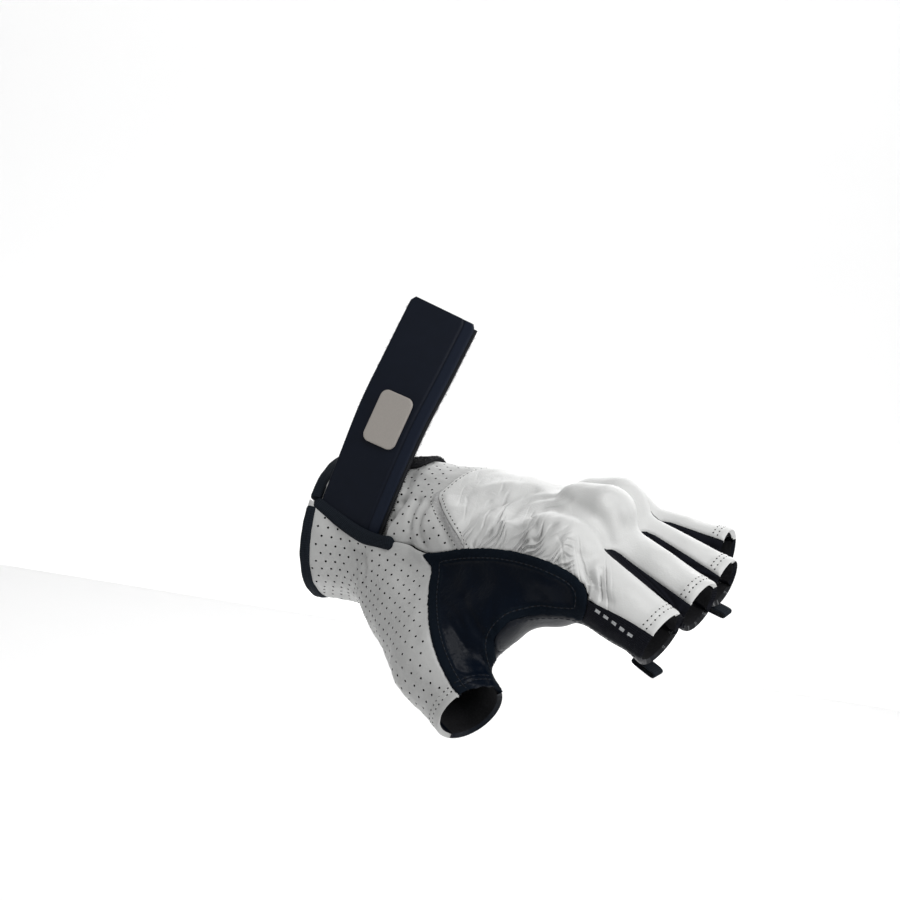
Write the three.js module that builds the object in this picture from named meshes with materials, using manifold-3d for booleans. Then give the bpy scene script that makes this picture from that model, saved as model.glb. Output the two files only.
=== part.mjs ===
// Fingerless motorcycle glove for the left hand, standing as if it were worn, strap pulled up.
// Millimetres. Row frame: origin in the middle of the wrist opening, +X into the glove along the
// forearm, +Z out of the back of the wrist, +Y to the little finger side, thumb at -Y.
import * as THREE from 'three';
import { mergeVertices } from 'three/addons/utils/BufferGeometryUtils.js';
import Module from 'manifold-3d';

const wasm = await Module();
wasm.setup();

// driving sizes
const WALL = 2.0;              // leather with its lining
const GAP = 0.3;               // between sewn pieces
const SEAT = 0.4;              // under a piece that lies on the wall
const CELL = 8.0;              // mesh pitch of the outer faces
const INNER_CELL = 9.8;        // and of the faces inside
const BINDING_R = 2.2;         // elastic binding round the wrist opening
const VENT_BINDING_R = 2.0;
const RIM_TILT = 0.11;         // wrist opening leans: x of the opening = -RIM_TILT * z
const STRAP_WIDTH = 28;
const STRAP_FACE_T = 1.6;
const STRAP_HOOK_T = 1.8;
const PILE_T = 1.8;            // loop pad on the back of the wrist
const PATCH = { length: 21, width: 14, corner: 3, thick: 0.9 };
const TAB = { length: 11, width: 6, thick: 1.4 };

// the hand is bent back from the forearm and turned to the thumb side
const WRIST = new THREE.Vector3(34, 0, 0);
const HAND_PITCH = 21;
const HAND_YAW = -16;
const THUMB_CUFF = 0.74;       // where the thumb's cuff cuts its middle link
// the side the thumb shows: turned, raised and rolled from looking along +Y
const SIDE = { turn: 16.7, raise: 17.6, roll: 9.2 };

// finger: mcp in the hand frame, ab splay, flex bend, len to the cuff, r0 at the knuckle, r1 at the cuff
const FINGERS = {
  index: { mcp: [90, -27, -1], ab: -2.4, flex: 37.5, len: 44, r0: 13.5, r1: 11.3, tail: 56 },
  middle: { mcp: [93, -5, -0.5], ab: -2.6, flex: 32.3, len: 42.5, r0: 11.4, r1: 10, tail: 57.5 },
  ring: { mcp: [86, 15, -0.5], ab: 3.7, flex: 28.3, len: 45, r0: 11.3, r1: 9.4, tail: 58 },
  pinky: { mcp: [77, 33, -4], ab: 8.7, flex: 17.5, len: 41, r0: 11, r1: 9, tail: 52 },
};
// where each finger's hand bone starts and ends, and the padded bump on its knuckle
const HAND_BONES = {
  index: { from: [6, -14, 10], r: 17.5, to: [84, -27, -1], toR: 15, bump: [87, -27, 8.3], bumpR: 10.3 },
  middle: { from: [4, -4, 12], r: 18, to: [87, -5, 3], toR: 14.3, bump: [90, -5, 12.8], bumpR: 11 },
  ring: { from: [3, 6, 9], r: 18, to: [80, 15, 1], toR: 13.3, bump: [83, 15, 10.3], bumpR: 10.7 },
  pinky: { from: [4, 14, 3], r: 17, to: [71, 33, -4], toR: 12.5, bump: [74, 33, 3.5], bumpR: 9.3 },
};
const THUMB = {
  root: [11, -25, -10],
  rootR: 17,
  links: [
    { yaw: -41.3, flex: 23.4, len: 47.5, r: 15.2, blend: 10 },
    { yaw: -27, flex: 36.6, len: 33.5, r: 12.4, blend: 6 },
    { yaw: -46, flex: 37.5, len: 14, r: 11.7, blend: 5 },
  ],
};
// fuller flesh between the bones, hand frame
const FLESH = [
  { name: 'heel', a: [14, 16, -10], ra: 15, b: [60, 30, -12], rb: 12, blend: 10 },
  { name: 'palm', a: [30, -22, -10], ra: 14, b: [84, -27, -9], rb: 13.5, blend: 8 },
  { name: 'webTop', a: [40, -34, -14], ra: 11, b: [68, -42, -14], rb: 9, blend: 12 },
  { name: 'webLow', a: [44, -46, -25], ra: 11.5, b: [60, -45, -20], rb: 7, blend: 12 },
  { name: 'palmMid', a: [20, 8, -10], ra: 14, b: [80, 12, -8], rb: 12, blend: 10 },
  { name: 'back', a: [16, 2, 12.5], ra: 16.7, b: [50, 4, 8], rb: 15.2, blend: 12 },
];
const CUFF = { x0: -14, x1: 34, y0: 33.5, y1: 30, z0: 27, z1: 25 };
// main folds: a line in the row frame, half width and depth (negative is a ridge)
const FOLDS = [
  { name: 'cuffBend', a: [22, -33, 8], b: [30, -28, -20], width: 4.0, depth: 1.1 },
  { name: 'cuffRidge', a: [30, -34, 8], b: [38, -32, -18], width: 4.5, depth: -0.8 },
  { name: 'wristCrease', a: [38, -24, 25], b: [44, -38, 16], width: 3.5, depth: 1.2 },
  { name: 'wristRidge', a: [44, -20, 29], b: [50, -36, 22], width: 3.5, depth: -0.8 },
  { name: 'indexBase', a: [117, -60, 36], b: [121, -67, 26], width: 3.5, depth: 1.0 },
  { name: 'webFold', a: [84, -66, 2], b: [104, -64, 16], width: 5.0, depth: 0.9 },
];

// Height of the line between the top and the palm side of the hand, over the hand frame:
// side columns are the seams, finger columns are the finger axes.
const TOP_LINE = [
  { x: -60, thumbSide: 3, index: 0, middle: 0, ring: 0, pinky: 0, outer: 0 },
  { x: 52, thumbSide: 3, index: 0, middle: 3, ring: 1, pinky: -2, outer: -1 },
  { x: 77, thumbSide: 2, index: 0, middle: 3, ring: 1, pinky: -3, outer: -2 },
  { x: 92, thumbSide: -1, index: -2, middle: 1, ring: -3, pinky: -9, outer: -6 },
  { x: 103, thumbSide: -9, index: -11, middle: -6, ring: -9, pinky: -12, outer: -9 },
  { x: 111, thumbSide: -13, index: -17, middle: -11, ring: -12, pinky: -15, outer: -12 },
  { x: 123, thumbSide: -20, index: -26, middle: -18, ring: -18, pinky: -19, outer: -16 },
  { x: 150, thumbSide: -39, index: -47, middle: -34, ring: -32, pinky: -27, outer: -25 },
];
const TOP_COLUMNS = { thumbSide: -36, index: -28, middle: -6, ring: 17, pinky: 37, outer: 43 };
// Same for the wrist, in the row frame: vent edge and lapped seam, and the palm leather's edge.
const WRIST_LINE = [
  { x: -20, thumbSide: 21, outer: -3 },
  { x: 1, thumbSide: 16.5, outer: -2 },
  { x: 9, thumbSide: 14.3, outer: -1 },
  { x: 18, thumbSide: 12.3, outer: 0 },
  { x: 25, thumbSide: 11.6, outer: 0 },
  { x: 32, thumbSide: 12.1, outer: 0 },
  { x: 41, thumbSide: 14.7, outer: 0.5 },
  { x: 53, thumbSide: 15.2, outer: 4 },
  { x: 80, thumbSide: 17, outer: 15 },
  { x: 180, thumbSide: 17, outer: 55 },
];
const WRIST_COLUMNS = { thumbSide: -20, outer: 20 };
// How deep the pieces seen from the thumb side reach round, side frame: along, up and toward.
const REACH = [
  { up: 60, edge: 0, cuff: 0, wrist: 5, thumbRoot: 20, web: 30, index: 30 },
  { up: -10, edge: 0, cuff: 0, wrist: 12, thumbRoot: 36, web: 48, index: 60 },
  { up: -30, edge: 0, cuff: 2, wrist: 24, thumbRoot: 50, web: 66, index: 75 },
  { up: -48, edge: 5, cuff: 12, wrist: 38, thumbRoot: 67, web: 79, index: 88 },
  { up: -60, edge: 15, cuff: 30, wrist: 54, thumbRoot: 77, web: 85, index: 95 },
  { up: -110, edge: 30, cuff: 60, wrist: 70, thumbRoot: 88, web: 95, index: 105 },
];
const REACH_COLUMNS = { edge: -30, cuff: 0, wrist: 20, thumbRoot: 41, web: 60, index: 100 };

// Seam outlines. Knuckle seam in the hand frame seen from the back; the rest in the side frame.
const KNUCKLE_SEAM = [
  { x: 58, y: -41 }, { x: 53, y: -36.7 }, { x: 48.6, y: -33.7 }, { x: 43.2, y: -29.9 },
  { x: 37.8, y: -25.3 }, { x: 33.2, y: -20.3 }, { x: 32.2, y: -16 }, { x: 33, y: -8 },
  { x: 34.5, y: 1 }, { x: 38.5, y: 10 }, { x: 46, y: 19 }, { x: 56, y: 27 }, { x: 66, y: 34 },
  { x: 76, y: 41 }, { x: 84, y: 50 },
];
const WEB_PATCH = [
  { along: 41.5, up: -8.9 }, { along: 50.2, up: -6.5 }, { along: 60.7, up: -6 },
  { along: 68.8, up: -6.8 }, { along: 75.9, up: -8.4 }, { along: 81.6, up: -10.4 },
  { along: 86.5, up: -12.7 }, { along: 90.5, up: -15.5 }, { along: 93, up: -18.8 },
  { along: 93.7, up: -23 }, { along: 92.4, up: -31 }, { along: 88.6, up: -29.9 },
  { along: 79, up: -29.5 }, { along: 71.5, up: -30.6 }, { along: 66.5, up: -32.5 },
  { along: 62, up: -39 }, { along: 64, up: -50 }, { along: 70, up: -58 },
  { along: 57, up: -58.8 }, { along: 51.5, up: -58.6 }, { along: 47.2, up: -55 },
  { along: 43.5, up: -49 }, { along: 40.4, up: -41.8 }, { along: 38.4, up: -34 },
  { along: 37.8, up: -26.2 }, { along: 38.2, up: -19.2 }, { along: 39.6, up: -14.5 },
];
const INDEX_SIDE = [
  { along: 88, up: -16 }, { along: 112, up: -22 }, { along: 140, up: -40 }, { along: 140, up: -59 },
  { along: 115, up: -44.2 }, { along: 103, up: -37.4 }, { along: 92.3, up: -31.4 },
];
const PINKY_SIDE = [
  { x: 64, z: 4 }, { x: 135, z: 0 }, { x: 140, z: -32 }, { x: 118, z: -23.5 }, { x: 98, z: -17 },
  { x: 80, z: -10.5 }, { x: 66, z: -3 },
];
const GRIP_START = [
  { x: 70, y: -60 }, { x: 67, y: -40 }, { x: 69, y: -20 }, { x: 70, y: 0 }, { x: 68, y: 20 },
  { x: 66, y: 40 }, { x: 64, y: 60 },
];
// vent edge along which the flap is bound, row frame; the last row is its rounded end
const VENT_EDGE = [
  { x: -0.5, y: -23.8, z: 16.2 }, { x: 9.2, y: -26.2, z: 13.6 }, { x: 18.3, y: -29.4, z: 11.6 },
  { x: 25.1, y: -31.8, z: 10.8 }, { x: 31.6, y: -34, z: 11.4 }, { x: 38, y: -36.4, z: 13.2 },
];
// strap centre line, side frame, with the turn of its face away from the side view
const STRAP_LINE = [
  { along: 7.6, up: 1.5, toward: 32.5, turn: 29 },
  { along: 9.6, up: 7, toward: 33.5, turn: 29 },
  { along: 16, up: 23, toward: 35, turn: 27 },
  { along: 24.2, up: 42.5, toward: 35, turn: 22 },
  { along: 33.5, up: 61, toward: 34, turn: 18 },
  { along: 44, up: 82, toward: 32, turn: 16 },
];
const PATCH_AT = 42;           // along the strap from its root
// outline of the loop pad seen from the back of the wrist, row frame
const LOOP_PAD = [
  { x: 4, y: -2 }, { x: 20, y: -7 }, { x: 33, y: -9 }, { x: 37, y: -4 }, { x: 38, y: 10 },
  { x: 36, y: 24 }, { x: 33, y: 27 }, { x: 18, y: 27 }, { x: 5, y: 25 }, { x: 3, y: 20 },
];
// padded slider on the heel of the hand, hand frame: an oval body on a thinner edge
const SLIDER = {
  at: [30, 16, -8], normal: [0, 0.42, -0.9], along: [1, 0.12, 0],
  length: 58, width: 32, rim: 4, edge: 1.9, thick: 5.2, hole: 2.2,
};
// fourchettes: the sides of two neighbouring fingers and the web between them
const FOURCHETTES = [
  { name: 'fourchette_index_middle', a: 'index', b: 'middle', tip: 7, full: 11, half: 3.7, crotch: 27 },
  { name: 'fourchette_middle_ring', a: 'middle', b: 'ring', tip: 8, full: 13, half: 4.7, crotch: 28 },
  { name: 'fourchette_ring_pinky', a: 'ring', b: 'pinky', tip: 11, full: 16, half: 6, crotch: 27 },
];
const SLIT = 1.0;              // between the sides of neighbouring fingers
const FOURCHETTE_DEPTH = -5;   // how far down the finger sides they go, from the finger axes

const rad = THREE.MathUtils.degToRad;
const vec = (a) => new THREE.Vector3(...a);

function frameOf(origin, x, y, z) {
  const m = new THREE.Matrix4().makeBasis(x, y, z);
  return m.setPosition(origin);
}

function turned(degY, degZ) {
  // first the turn about Z, then the lift of +X towards +Z
  const lift = new THREE.Matrix4().makeRotationY(-rad(degY));
  return lift.multiply(new THREE.Matrix4().makeRotationZ(rad(degZ)));
}

const HAND = turned(HAND_PITCH, HAND_YAW).setPosition(WRIST);
const ROW = new THREE.Matrix4();

function sideFrame() {
  const a = rad(SIDE.turn);
  const e = rad(SIDE.raise);
  const r = rad(SIDE.roll);
  const toward = new THREE.Vector3(Math.sin(a) * Math.cos(e), -Math.cos(a) * Math.cos(e), Math.sin(e));
  const level = new THREE.Vector3(Math.cos(a), Math.sin(a), 0);
  const rise = new THREE.Vector3().crossVectors(toward, level);
  const along = level.clone().multiplyScalar(Math.cos(r)).addScaledVector(rise, Math.sin(r));
  const up = rise.clone().multiplyScalar(Math.cos(r)).addScaledVector(level, -Math.sin(r));
  return frameOf(new THREE.Vector3(), along, up, toward);
}
const SIDE_FRAME = sideFrame();

const hand = (a) => vec(a).applyMatrix4(HAND);

function heading(yaw, flex) {
  const y = rad(yaw);
  const f = rad(flex);
  return new THREE.Vector3(Math.cos(f) * Math.cos(y), Math.cos(f) * Math.sin(y), -Math.sin(f));
}

function fingerPoint(name, along) {
  const f = FINGERS[name];
  return vec(f.mcp).addScaledVector(heading(f.ab, f.flex), along).applyMatrix4(HAND);
}

// the form: tapered links blended into one body
function formLinks() {
  const links = [];
  const add = (a, ra, b, rb, blend) => links.push({ a, ra, b, rb, blend });
  for (const [name, f] of Object.entries(FINGERS)) {
    const bone = HAND_BONES[name];
    add(hand(bone.from), bone.r, hand(bone.to), bone.toR, 10);
    const taper = (f.r0 - f.r1) / (f.tail - 14);
    add(fingerPoint(name, 0), f.r0, fingerPoint(name, f.tail), f.r0 - taper * f.tail, 5);
    const [x, y, z] = bone.bump;
    add(hand([x - 5, y, z]), bone.bumpR, hand([x + 5, y, z - 1]), bone.bumpR, 5);
  }
  let at = vec(THUMB.root);
  let r = THUMB.rootR;
  for (const link of THUMB.links) {
    const next = at.clone().addScaledVector(heading(link.yaw, link.flex), link.len);
    add(at.clone().applyMatrix4(HAND), r, next.clone().applyMatrix4(HAND), link.r, link.blend);
    at = next;
    r = link.r;
  }
  for (const f of FLESH) add(hand(f.a), f.ra, hand(f.b), f.rb, f.blend);
  return links;
}
const LINKS = formLinks();
// the thumb's second link carries its cuff
const THUMB_MID = LINKS[LINKS.length - FLESH.length - 2];

function toSegment(p, a, b) {
  const ba = b.clone().sub(a);
  const t = THREE.MathUtils.clamp(p.clone().sub(a).dot(ba) / ba.lengthSq(), 0, 1);
  return { t, d: p.distanceTo(a.clone().addScaledVector(ba, t)) };
}

function blend(a, b, k) {
  const h = THREE.MathUtils.clamp(0.5 + (0.5 * (b - a)) / k, 0, 1);
  return b + (a - b) * h - k * h * (1 - h);
}

function cuffDistance(p) {
  const t = THREE.MathUtils.clamp((p.x - CUFF.x0) / (CUFF.x1 - CUFF.x0), 0, 1);
  const hy = CUFF.y0 + (CUFF.y1 - CUFF.y0) * t;
  const hz = CUFF.z0 + (CUFF.z1 - CUFF.z0) * t;
  const d = (Math.hypot(p.y / hy, p.z / hz) - 1) * Math.min(hy, hz);
  return Math.max(d, CUFF.x0 - p.x, p.x - CUFF.x1);
}

function formDistance(p) {
  let d = cuffDistance(p);
  for (const l of LINKS) {
    const s = toSegment(p, l.a, l.b);
    d = blend(d, s.d - (l.ra + (l.rb - l.ra) * s.t), l.blend);
  }
  return d;
}

const FOLD_LINES = FOLDS.map((f) => ({ a: vec(f.a), b: vec(f.b), width: f.width, depth: f.depth }));

function outside(p) {
  let d = formDistance(p);
  if (Math.abs(d) > 14) return d;
  for (const f of FOLD_LINES) {
    const s = toSegment(p, f.a, f.b).d / f.width;
    d += f.depth * Math.exp(-s * s);
  }
  return d;
}

// grid over which the form is meshed, its steps counted from min
const FIELD = { min: [-26, -118, -72], max: [192, 62, 82] };

function gradient(fn, p) {
  const e = 0.4;
  const g = new THREE.Vector3();
  for (const axis of ['x', 'y', 'z']) {
    const q = p.clone();
    q[axis] += e;
    const high = fn(q);
    q[axis] -= 2 * e;
    g[axis] = (high - fn(q)) / (2 * e);
  }
  return g;
}

// corners, edges and sides of a grid cell
const CORNERS = [0, 1, 2, 3, 4, 5, 6, 7].map((c) => [c & 1, (c >> 1) & 1, (c >> 2) & 1]);
const CELL_EDGES = [];
CORNERS.forEach((c, from) => {
  for (let axis = 0; axis < 3; axis++) {
    if (!c[axis]) CELL_EDGES.push({ from, to: from + 2 ** axis, axis });
  }
});
const CELL_SIDES = [0, 1, 2].flatMap((axis) => [0, 1].map((s) => (
  CELL_EDGES.filter((e) => CORNERS[e.from][axis] === s && CORNERS[e.to][axis] === s))));

// the crossed edges of a cell, in one group for each sheet of surface that passes through it
function sheetsOf(level) {
  const crossed = (e) => level[e.from] < 0 !== level[e.to] < 0;
  const groups = new Map(CELL_EDGES.filter(crossed).map((e) => [e, [e]]));
  const join = (a, b) => {
    if (groups.get(a) === groups.get(b)) return;
    const all = [...groups.get(a), ...groups.get(b)];
    for (const e of all) groups.set(e, all);
  };
  for (const edges of CELL_SIDES) {
    const cut = edges.filter(crossed);
    if (cut.length === 2) join(...cut);
    if (cut.length < 4) continue;
    for (let c = 0; c < 8; c++) {
      const round = cut.filter((e) => level[c] < 0 && (e.from === c || e.to === c));
      if (round.length === 2) join(...round);
    }
  }
  return new Set(groups.values());
}

// A vertex for every sheet in a cell, pulled onto the surface, and a pair of triangles round every
// grid edge it crosses.
function formMesh(offset, box = FIELD, cell = CELL) {
  const fn = (p) => outside(p) - offset;
  const n = [0, 1, 2].map((i) => Math.ceil((box.max[i] - box.min[i]) / cell) + 1);
  const at = (i, j, k) => (k * n[1] + j) * n[0] + i;
  const value = new Float32Array(n[0] * n[1] * n[2]);
  const node = (i, j, k) => new THREE.Vector3(
    box.min[0] + i * cell, box.min[1] + j * cell, box.min[2] + k * cell);
  for (let k = 0; k < n[2]; k++) {
    for (let j = 0; j < n[1]; j++) {
      for (let i = 0; i < n[0]; i++) {
        const edge = i === 0 || j === 0 || k === 0 || i === n[0] - 1 || j === n[1] - 1 || k === n[2] - 1;
        value[at(i, j, k)] = edge ? Math.max(1, fn(node(i, j, k))) : fn(node(i, j, k));
      }
    }
  }
  const vertexOf = new Map();
  const points = [];
  const place = (start) => {
    const p = start.clone();
    for (let turn = 0; turn < 3; turn++) {
      const g = gradient(fn, p);
      p.addScaledVector(g, -fn(p) / Math.max(g.lengthSq(), 0.2));
    }
    return p.distanceTo(start) > cell ? start : p;
  };
  for (let k = 0; k < n[2] - 1; k++) {
    for (let j = 0; j < n[1] - 1; j++) {
      for (let i = 0; i < n[0] - 1; i++) {
        const level = CORNERS.map((c) => value[at(i + c[0], j + c[1], k + c[2])]);
        for (const group of sheetsOf(level)) {
          const sum = new THREE.Vector3();
          for (const e of group) {
            const ends = [e.from, e.to].map((c) => CORNERS[c].map((v, a) => v + [i, j, k][a]));
            const t = level[e.from] / (level[e.from] - level[e.to]);
            sum.add(node(...ends[0]).lerp(node(...ends[1]), t));
            vertexOf.set(at(i, j, k) * 24 + e.from * 3 + e.axis, points.length);
          }
          points.push(place(sum.divideScalar(group.length)));
        }
      }
    }
  }
  const faces = [];
  const quad = (cells, axis, flip) => {
    const list = cells.map(([i, j, k, corner]) => vertexOf.get(at(i, j, k) * 24 + corner * 3 + axis));
    const near = points[list[0]].distanceTo(points[list[2]]) <= points[list[1]].distanceTo(points[list[3]]);
    const tris = near ? [[0, 1, 2], [0, 2, 3]] : [[1, 2, 3], [1, 3, 0]];
    for (const t of tris) faces.push(flip ? [list[t[2]], list[t[1]], list[t[0]]] : t.map((v) => list[v]));
  };
  for (let k = 0; k < n[2] - 1; k++) {
    for (let j = 0; j < n[1] - 1; j++) {
      for (let i = 0; i < n[0] - 1; i++) {
        const here = value[at(i, j, k)] < 0;
        if (j && k && here !== value[at(i + 1, j, k)] < 0) {
          quad([[i, j - 1, k - 1, 6], [i, j, k - 1, 4], [i, j, k, 0], [i, j - 1, k, 2]], 0, !here);
        }
        if (i && k && here !== value[at(i, j + 1, k)] < 0) {
          quad([[i - 1, j, k - 1, 5], [i - 1, j, k, 1], [i, j, k, 0], [i, j, k - 1, 4]], 1, !here);
        }
        if (i && j && here !== value[at(i, j, k + 1)] < 0) {
          quad([[i - 1, j - 1, k, 3], [i, j - 1, k, 2], [i, j, k, 0], [i - 1, j, k, 1]], 2, !here);
        }
      }
    }
  }
  return solidOf(points, faces);
}

function solidOf(points, faces) {
  const vertProperties = new Float32Array(points.length * 3);
  points.forEach((p, i) => p.toArray(vertProperties, i * 3));
  const triVerts = new Uint32Array(faces.flat());
  return new wasm.Manifold(new wasm.Mesh({ numProp: 3, vertProperties, triVerts }));
}

function fromGeometry(geometry) {
  const g = geometry.clone();
  g.deleteAttribute('uv');
  g.deleteAttribute('normal');
  const m = mergeVertices(g, 1e-4);
  const pos = m.attributes.position;
  const points = [];
  for (let i = 0; i < pos.count; i++) points.push(new THREE.Vector3().fromBufferAttribute(pos, i));
  const faces = [];
  for (let i = 0; i < m.index.count; i += 3) {
    const t = [0, 1, 2].map((k) => m.index.getX(i + k));
    if (new Set(t).size === 3) faces.push(t);
  }
  return solidOf(points, faces);
}

// a closed outline moved out by grow, with mitred corners
function grown(points, grow) {
  if (!grow) return points;
  const turn = THREE.ShapeUtils.area(points) > 0 ? 1 : -1;
  const outward = (p, q) => new THREE.Vector2(q.y - p.y, p.x - q.x).normalize().multiplyScalar(turn);
  return points.map((p, i) => {
    const before = outward(points[(i + points.length - 1) % points.length], p);
    const after = outward(p, points[(i + 1) % points.length]);
    const mitre = before.clone().add(after).multiplyScalar(grow / Math.max(0.35, 1 + before.dot(after)));
    return p.clone().add(mitre);
  });
}

// a prism over a closed outline: smooth rounds it with a spline
function prism(outline, frame, near, far, grow = 0, smooth = false) {
  let pts = outline.map((p) => new THREE.Vector2(...p));
  if (smooth) {
    const curve = new THREE.CatmullRomCurve3(pts.map((p) => new THREE.Vector3(p.x, p.y, 0)), true);
    pts = curve.getSpacedPoints(smooth).slice(0, -1).map((p) => new THREE.Vector2(p.x, p.y));
  }
  const shape = new THREE.Shape(grown(pts, grow));
  const g = new THREE.ExtrudeGeometry(shape, { depth: near - far + 2 * grow, bevelEnabled: false });
  g.translate(0, 0, far - grow).applyMatrix4(frame);
  return fromGeometry(g);
}

// everything above (or below) a surface given by rows and columns of heights
function sheet(rows, rowKey, columns, frame, above, shift, swap = false) {
  const names = Object.keys(columns);
  const across = [-150, ...names.map((c) => columns[c]), 150];
  const keys = [names[0], ...names, names[names.length - 1]];
  const points = [];
  const cap = above ? 150 : -150;
  const grid = (r, c, level) => (level * rows.length + r) * across.length + c;
  for (const level of [0, 1]) {
    for (const row of rows) {
      across.forEach((v, c) => {
        const h = level ? cap : row[keys[c]] + shift;
        points.push((swap ? new THREE.Vector3(v, row[rowKey], h) : new THREE.Vector3(row[rowKey], v, h))
          .applyMatrix4(frame));
      });
    }
  }
  const faces = [];
  const face = (a, b, c, d) => faces.push([a, b, c], [a, c, d]);
  const last = rows.length - 1;
  const end = across.length - 1;
  for (let r = 0; r < last; r++) {
    for (let c = 0; c < end; c++) {
      face(grid(r, c, 1), grid(r + 1, c, 1), grid(r + 1, c + 1, 1), grid(r, c + 1, 1));
      face(grid(r, c, 0), grid(r, c + 1, 0), grid(r + 1, c + 1, 0), grid(r + 1, c, 0));
    }
    face(grid(r, 0, 0), grid(r + 1, 0, 0), grid(r + 1, 0, 1), grid(r, 0, 1));
    face(grid(r, end, 0), grid(r, end, 1), grid(r + 1, end, 1), grid(r + 1, end, 0));
  }
  for (let c = 0; c < end; c++) {
    face(grid(0, c, 0), grid(0, c, 1), grid(0, c + 1, 1), grid(0, c + 1, 0));
    face(grid(last, c, 0), grid(last, c + 1, 0), grid(last, c + 1, 1), grid(last, c, 1));
  }
  const turns = Number(above) + Number(swap) + Number(rows[0][rowKey] > rows[last][rowKey]);
  if (turns % 2 === 0) faces.forEach((f) => f.reverse());
  return solidOf(points, faces);
}

// half space on the side the normal points to
function halfSpace(point, normal) {
  const box = new THREE.BoxGeometry(400, 400, 400);
  box.translate(0, 0, 200);
  const toward = normal.clone().normalize();
  const q = new THREE.Quaternion().setFromUnitVectors(new THREE.Vector3(0, 0, 1), toward);
  box.applyQuaternion(q).translate(point.x, point.y, point.z);
  return fromGeometry(box);
}

// the piece of a solid with the most triangles; crumbs left by a cut are dropped
function body(solid) {
  const mesh = solid.getMesh();
  const step = mesh.numProp;
  const points = [];
  for (let i = 0; i < mesh.vertProperties.length; i += step) {
    points.push(new THREE.Vector3().fromArray(mesh.vertProperties, i));
  }
  const parent = points.map((_, i) => i);
  const find = (i) => {
    while (parent[i] !== i) {
      parent[i] = parent[parent[i]];
      i = parent[i];
    }
    return i;
  };
  const tris = [];
  for (let i = 0; i < mesh.triVerts.length; i += 3) {
    const t = [...mesh.triVerts.slice(i, i + 3)];
    tris.push(t);
    parent[find(t[0])] = find(t[1]);
    parent[find(t[1])] = find(t[2]);
  }
  const size = new Map();
  for (const t of tris) size.set(find(t[0]), (size.get(find(t[0])) ?? 0) + 1);
  const best = [...size.entries()].sort((p, q) => q[1] - p[1])[0][0];
  return { points, tris: tris.filter((t) => find(t[0]) === best) };
}

function cuffPlane(name) {
  const f = FINGERS[name];
  const ahead = fingerPoint(name, f.len + 1).sub(fingerPoint(name, f.len));
  return { point: fingerPoint(name, f.len), normal: ahead };
}

function trims() {
  const list = Object.keys(FINGERS).map(cuffPlane);
  const thumbAxis = THUMB_MID.b.clone().sub(THUMB_MID.a);
  list.push({ point: THUMB_MID.a.clone().addScaledVector(thumbAxis, THUMB_CUFF), normal: thumbAxis });
  list.push({ point: new THREE.Vector3(), normal: new THREE.Vector3(-1, 0, -RIM_TILT) });
  return list;
}

// a cuff cut only takes what is near that cuff
function cuffCutter(trim, reach) {
  const far = trim.normal.clone().normalize();
  const box = new THREE.CylinderGeometry(reach, reach, 60, 24);
  box.rotateX(Math.PI / 2).translate(0, 0, 30);
  const q = new THREE.Quaternion().setFromUnitVectors(new THREE.Vector3(0, 0, 1), far);
  box.applyQuaternion(q).translate(trim.point.x, trim.point.y, trim.point.z);
  return fromGeometry(box);
}

// a frame midway between two fingers: x along them, y across from a to b, z to the back
function betweenFingers(f) {
  const a0 = fingerPoint(f.a, 0);
  const b0 = fingerPoint(f.b, 0);
  const a1 = fingerPoint(f.a, 45);
  const b1 = fingerPoint(f.b, 45);
  const origin = a0.clone().add(b0).multiplyScalar(0.5);
  const along = a1.clone().add(b1).multiplyScalar(0.5).sub(origin).normalize();
  const up = along.clone().cross(b1.clone().sub(a1)).normalize();
  return frameOf(origin, along, up.clone().cross(along), up);
}

function slit(f, half, start) {
  return prism([[start, -half], [80, -half], [80, half], [start, half]], betweenFingers(f), 50, -50);
}

function fourchetteCutter(f, grow) {
  const { tip, full, half } = f;
  const bluntTip = [[tip, half * 0.5], [tip + 0.9, half * 0.85], [full, half], [75, half]];
  const outline = [...bluntTip.map(([x, y]) => [x, -y]), ...bluntTip.reverse()];
  return prism(outline, betweenFingers(f), 60, FOURCHETTE_DEPTH, grow);
}

let outer = formMesh(0);
let inner = formMesh(-WALL, FIELD, INNER_CELL);
for (const f of FOURCHETTES) {
  outer = outer.subtract(slit(f, SLIT / 2, f.crotch));
  inner = inner.subtract(slit(f, SLIT / 2 + WALL, f.crotch - WALL));
}
let stock = outer.subtract(inner);
const cuffs = trims();
cuffs.forEach((t, i) => {
  stock = stock.subtract(i < cuffs.length - 1 ? cuffCutter(t, 16.5) : halfSpace(t.point, t.normal));
});

const group = new THREE.Group();
group.name = 'motorcycle_glove';

const FINISH = {
  leather_white: { color: 0xe9eae6, roughness: 0.5 },
  leather_white_perforated: { color: 0xdfe1de, roughness: 0.58 },
  leather_black: { color: 0x15171c, roughness: 0.42 },
  stretch_black: { color: 0x17191f, roughness: 0.85 },
  grip_black: { color: 0x1a1c20, roughness: 0.7 },
  slider_black: { color: 0x15171b, roughness: 0.5 },
  binding_black: { color: 0x111319, roughness: 0.75 },
  strap_charcoal: { color: 0x20232a, roughness: 0.55 },
  pile_black: { color: 0x14161a, roughness: 0.95 },
  patch_grey: { color: 0xa9a49d, roughness: 0.4 },
};

function addPiece(name, solid, finish) {
  const { points, tris } = body(solid);
  const g = new THREE.BufferGeometry();
  const pos = new Float32Array(points.length * 3);
  points.forEach((p, i) => p.toArray(pos, i * 3));
  g.setAttribute('position', new THREE.BufferAttribute(pos, 3));
  g.setIndex(tris.flat());
  const used = mergeVertices(g.toNonIndexed(), 1e-5);
  used.computeVertexNormals();
  const material = new THREE.MeshStandardMaterial({ ...FINISH[finish], metalness: 0 });
  material.name = finish;
  const mesh = new THREE.Mesh(used, material);
  mesh.name = name;
  group.add(mesh);
}

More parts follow.
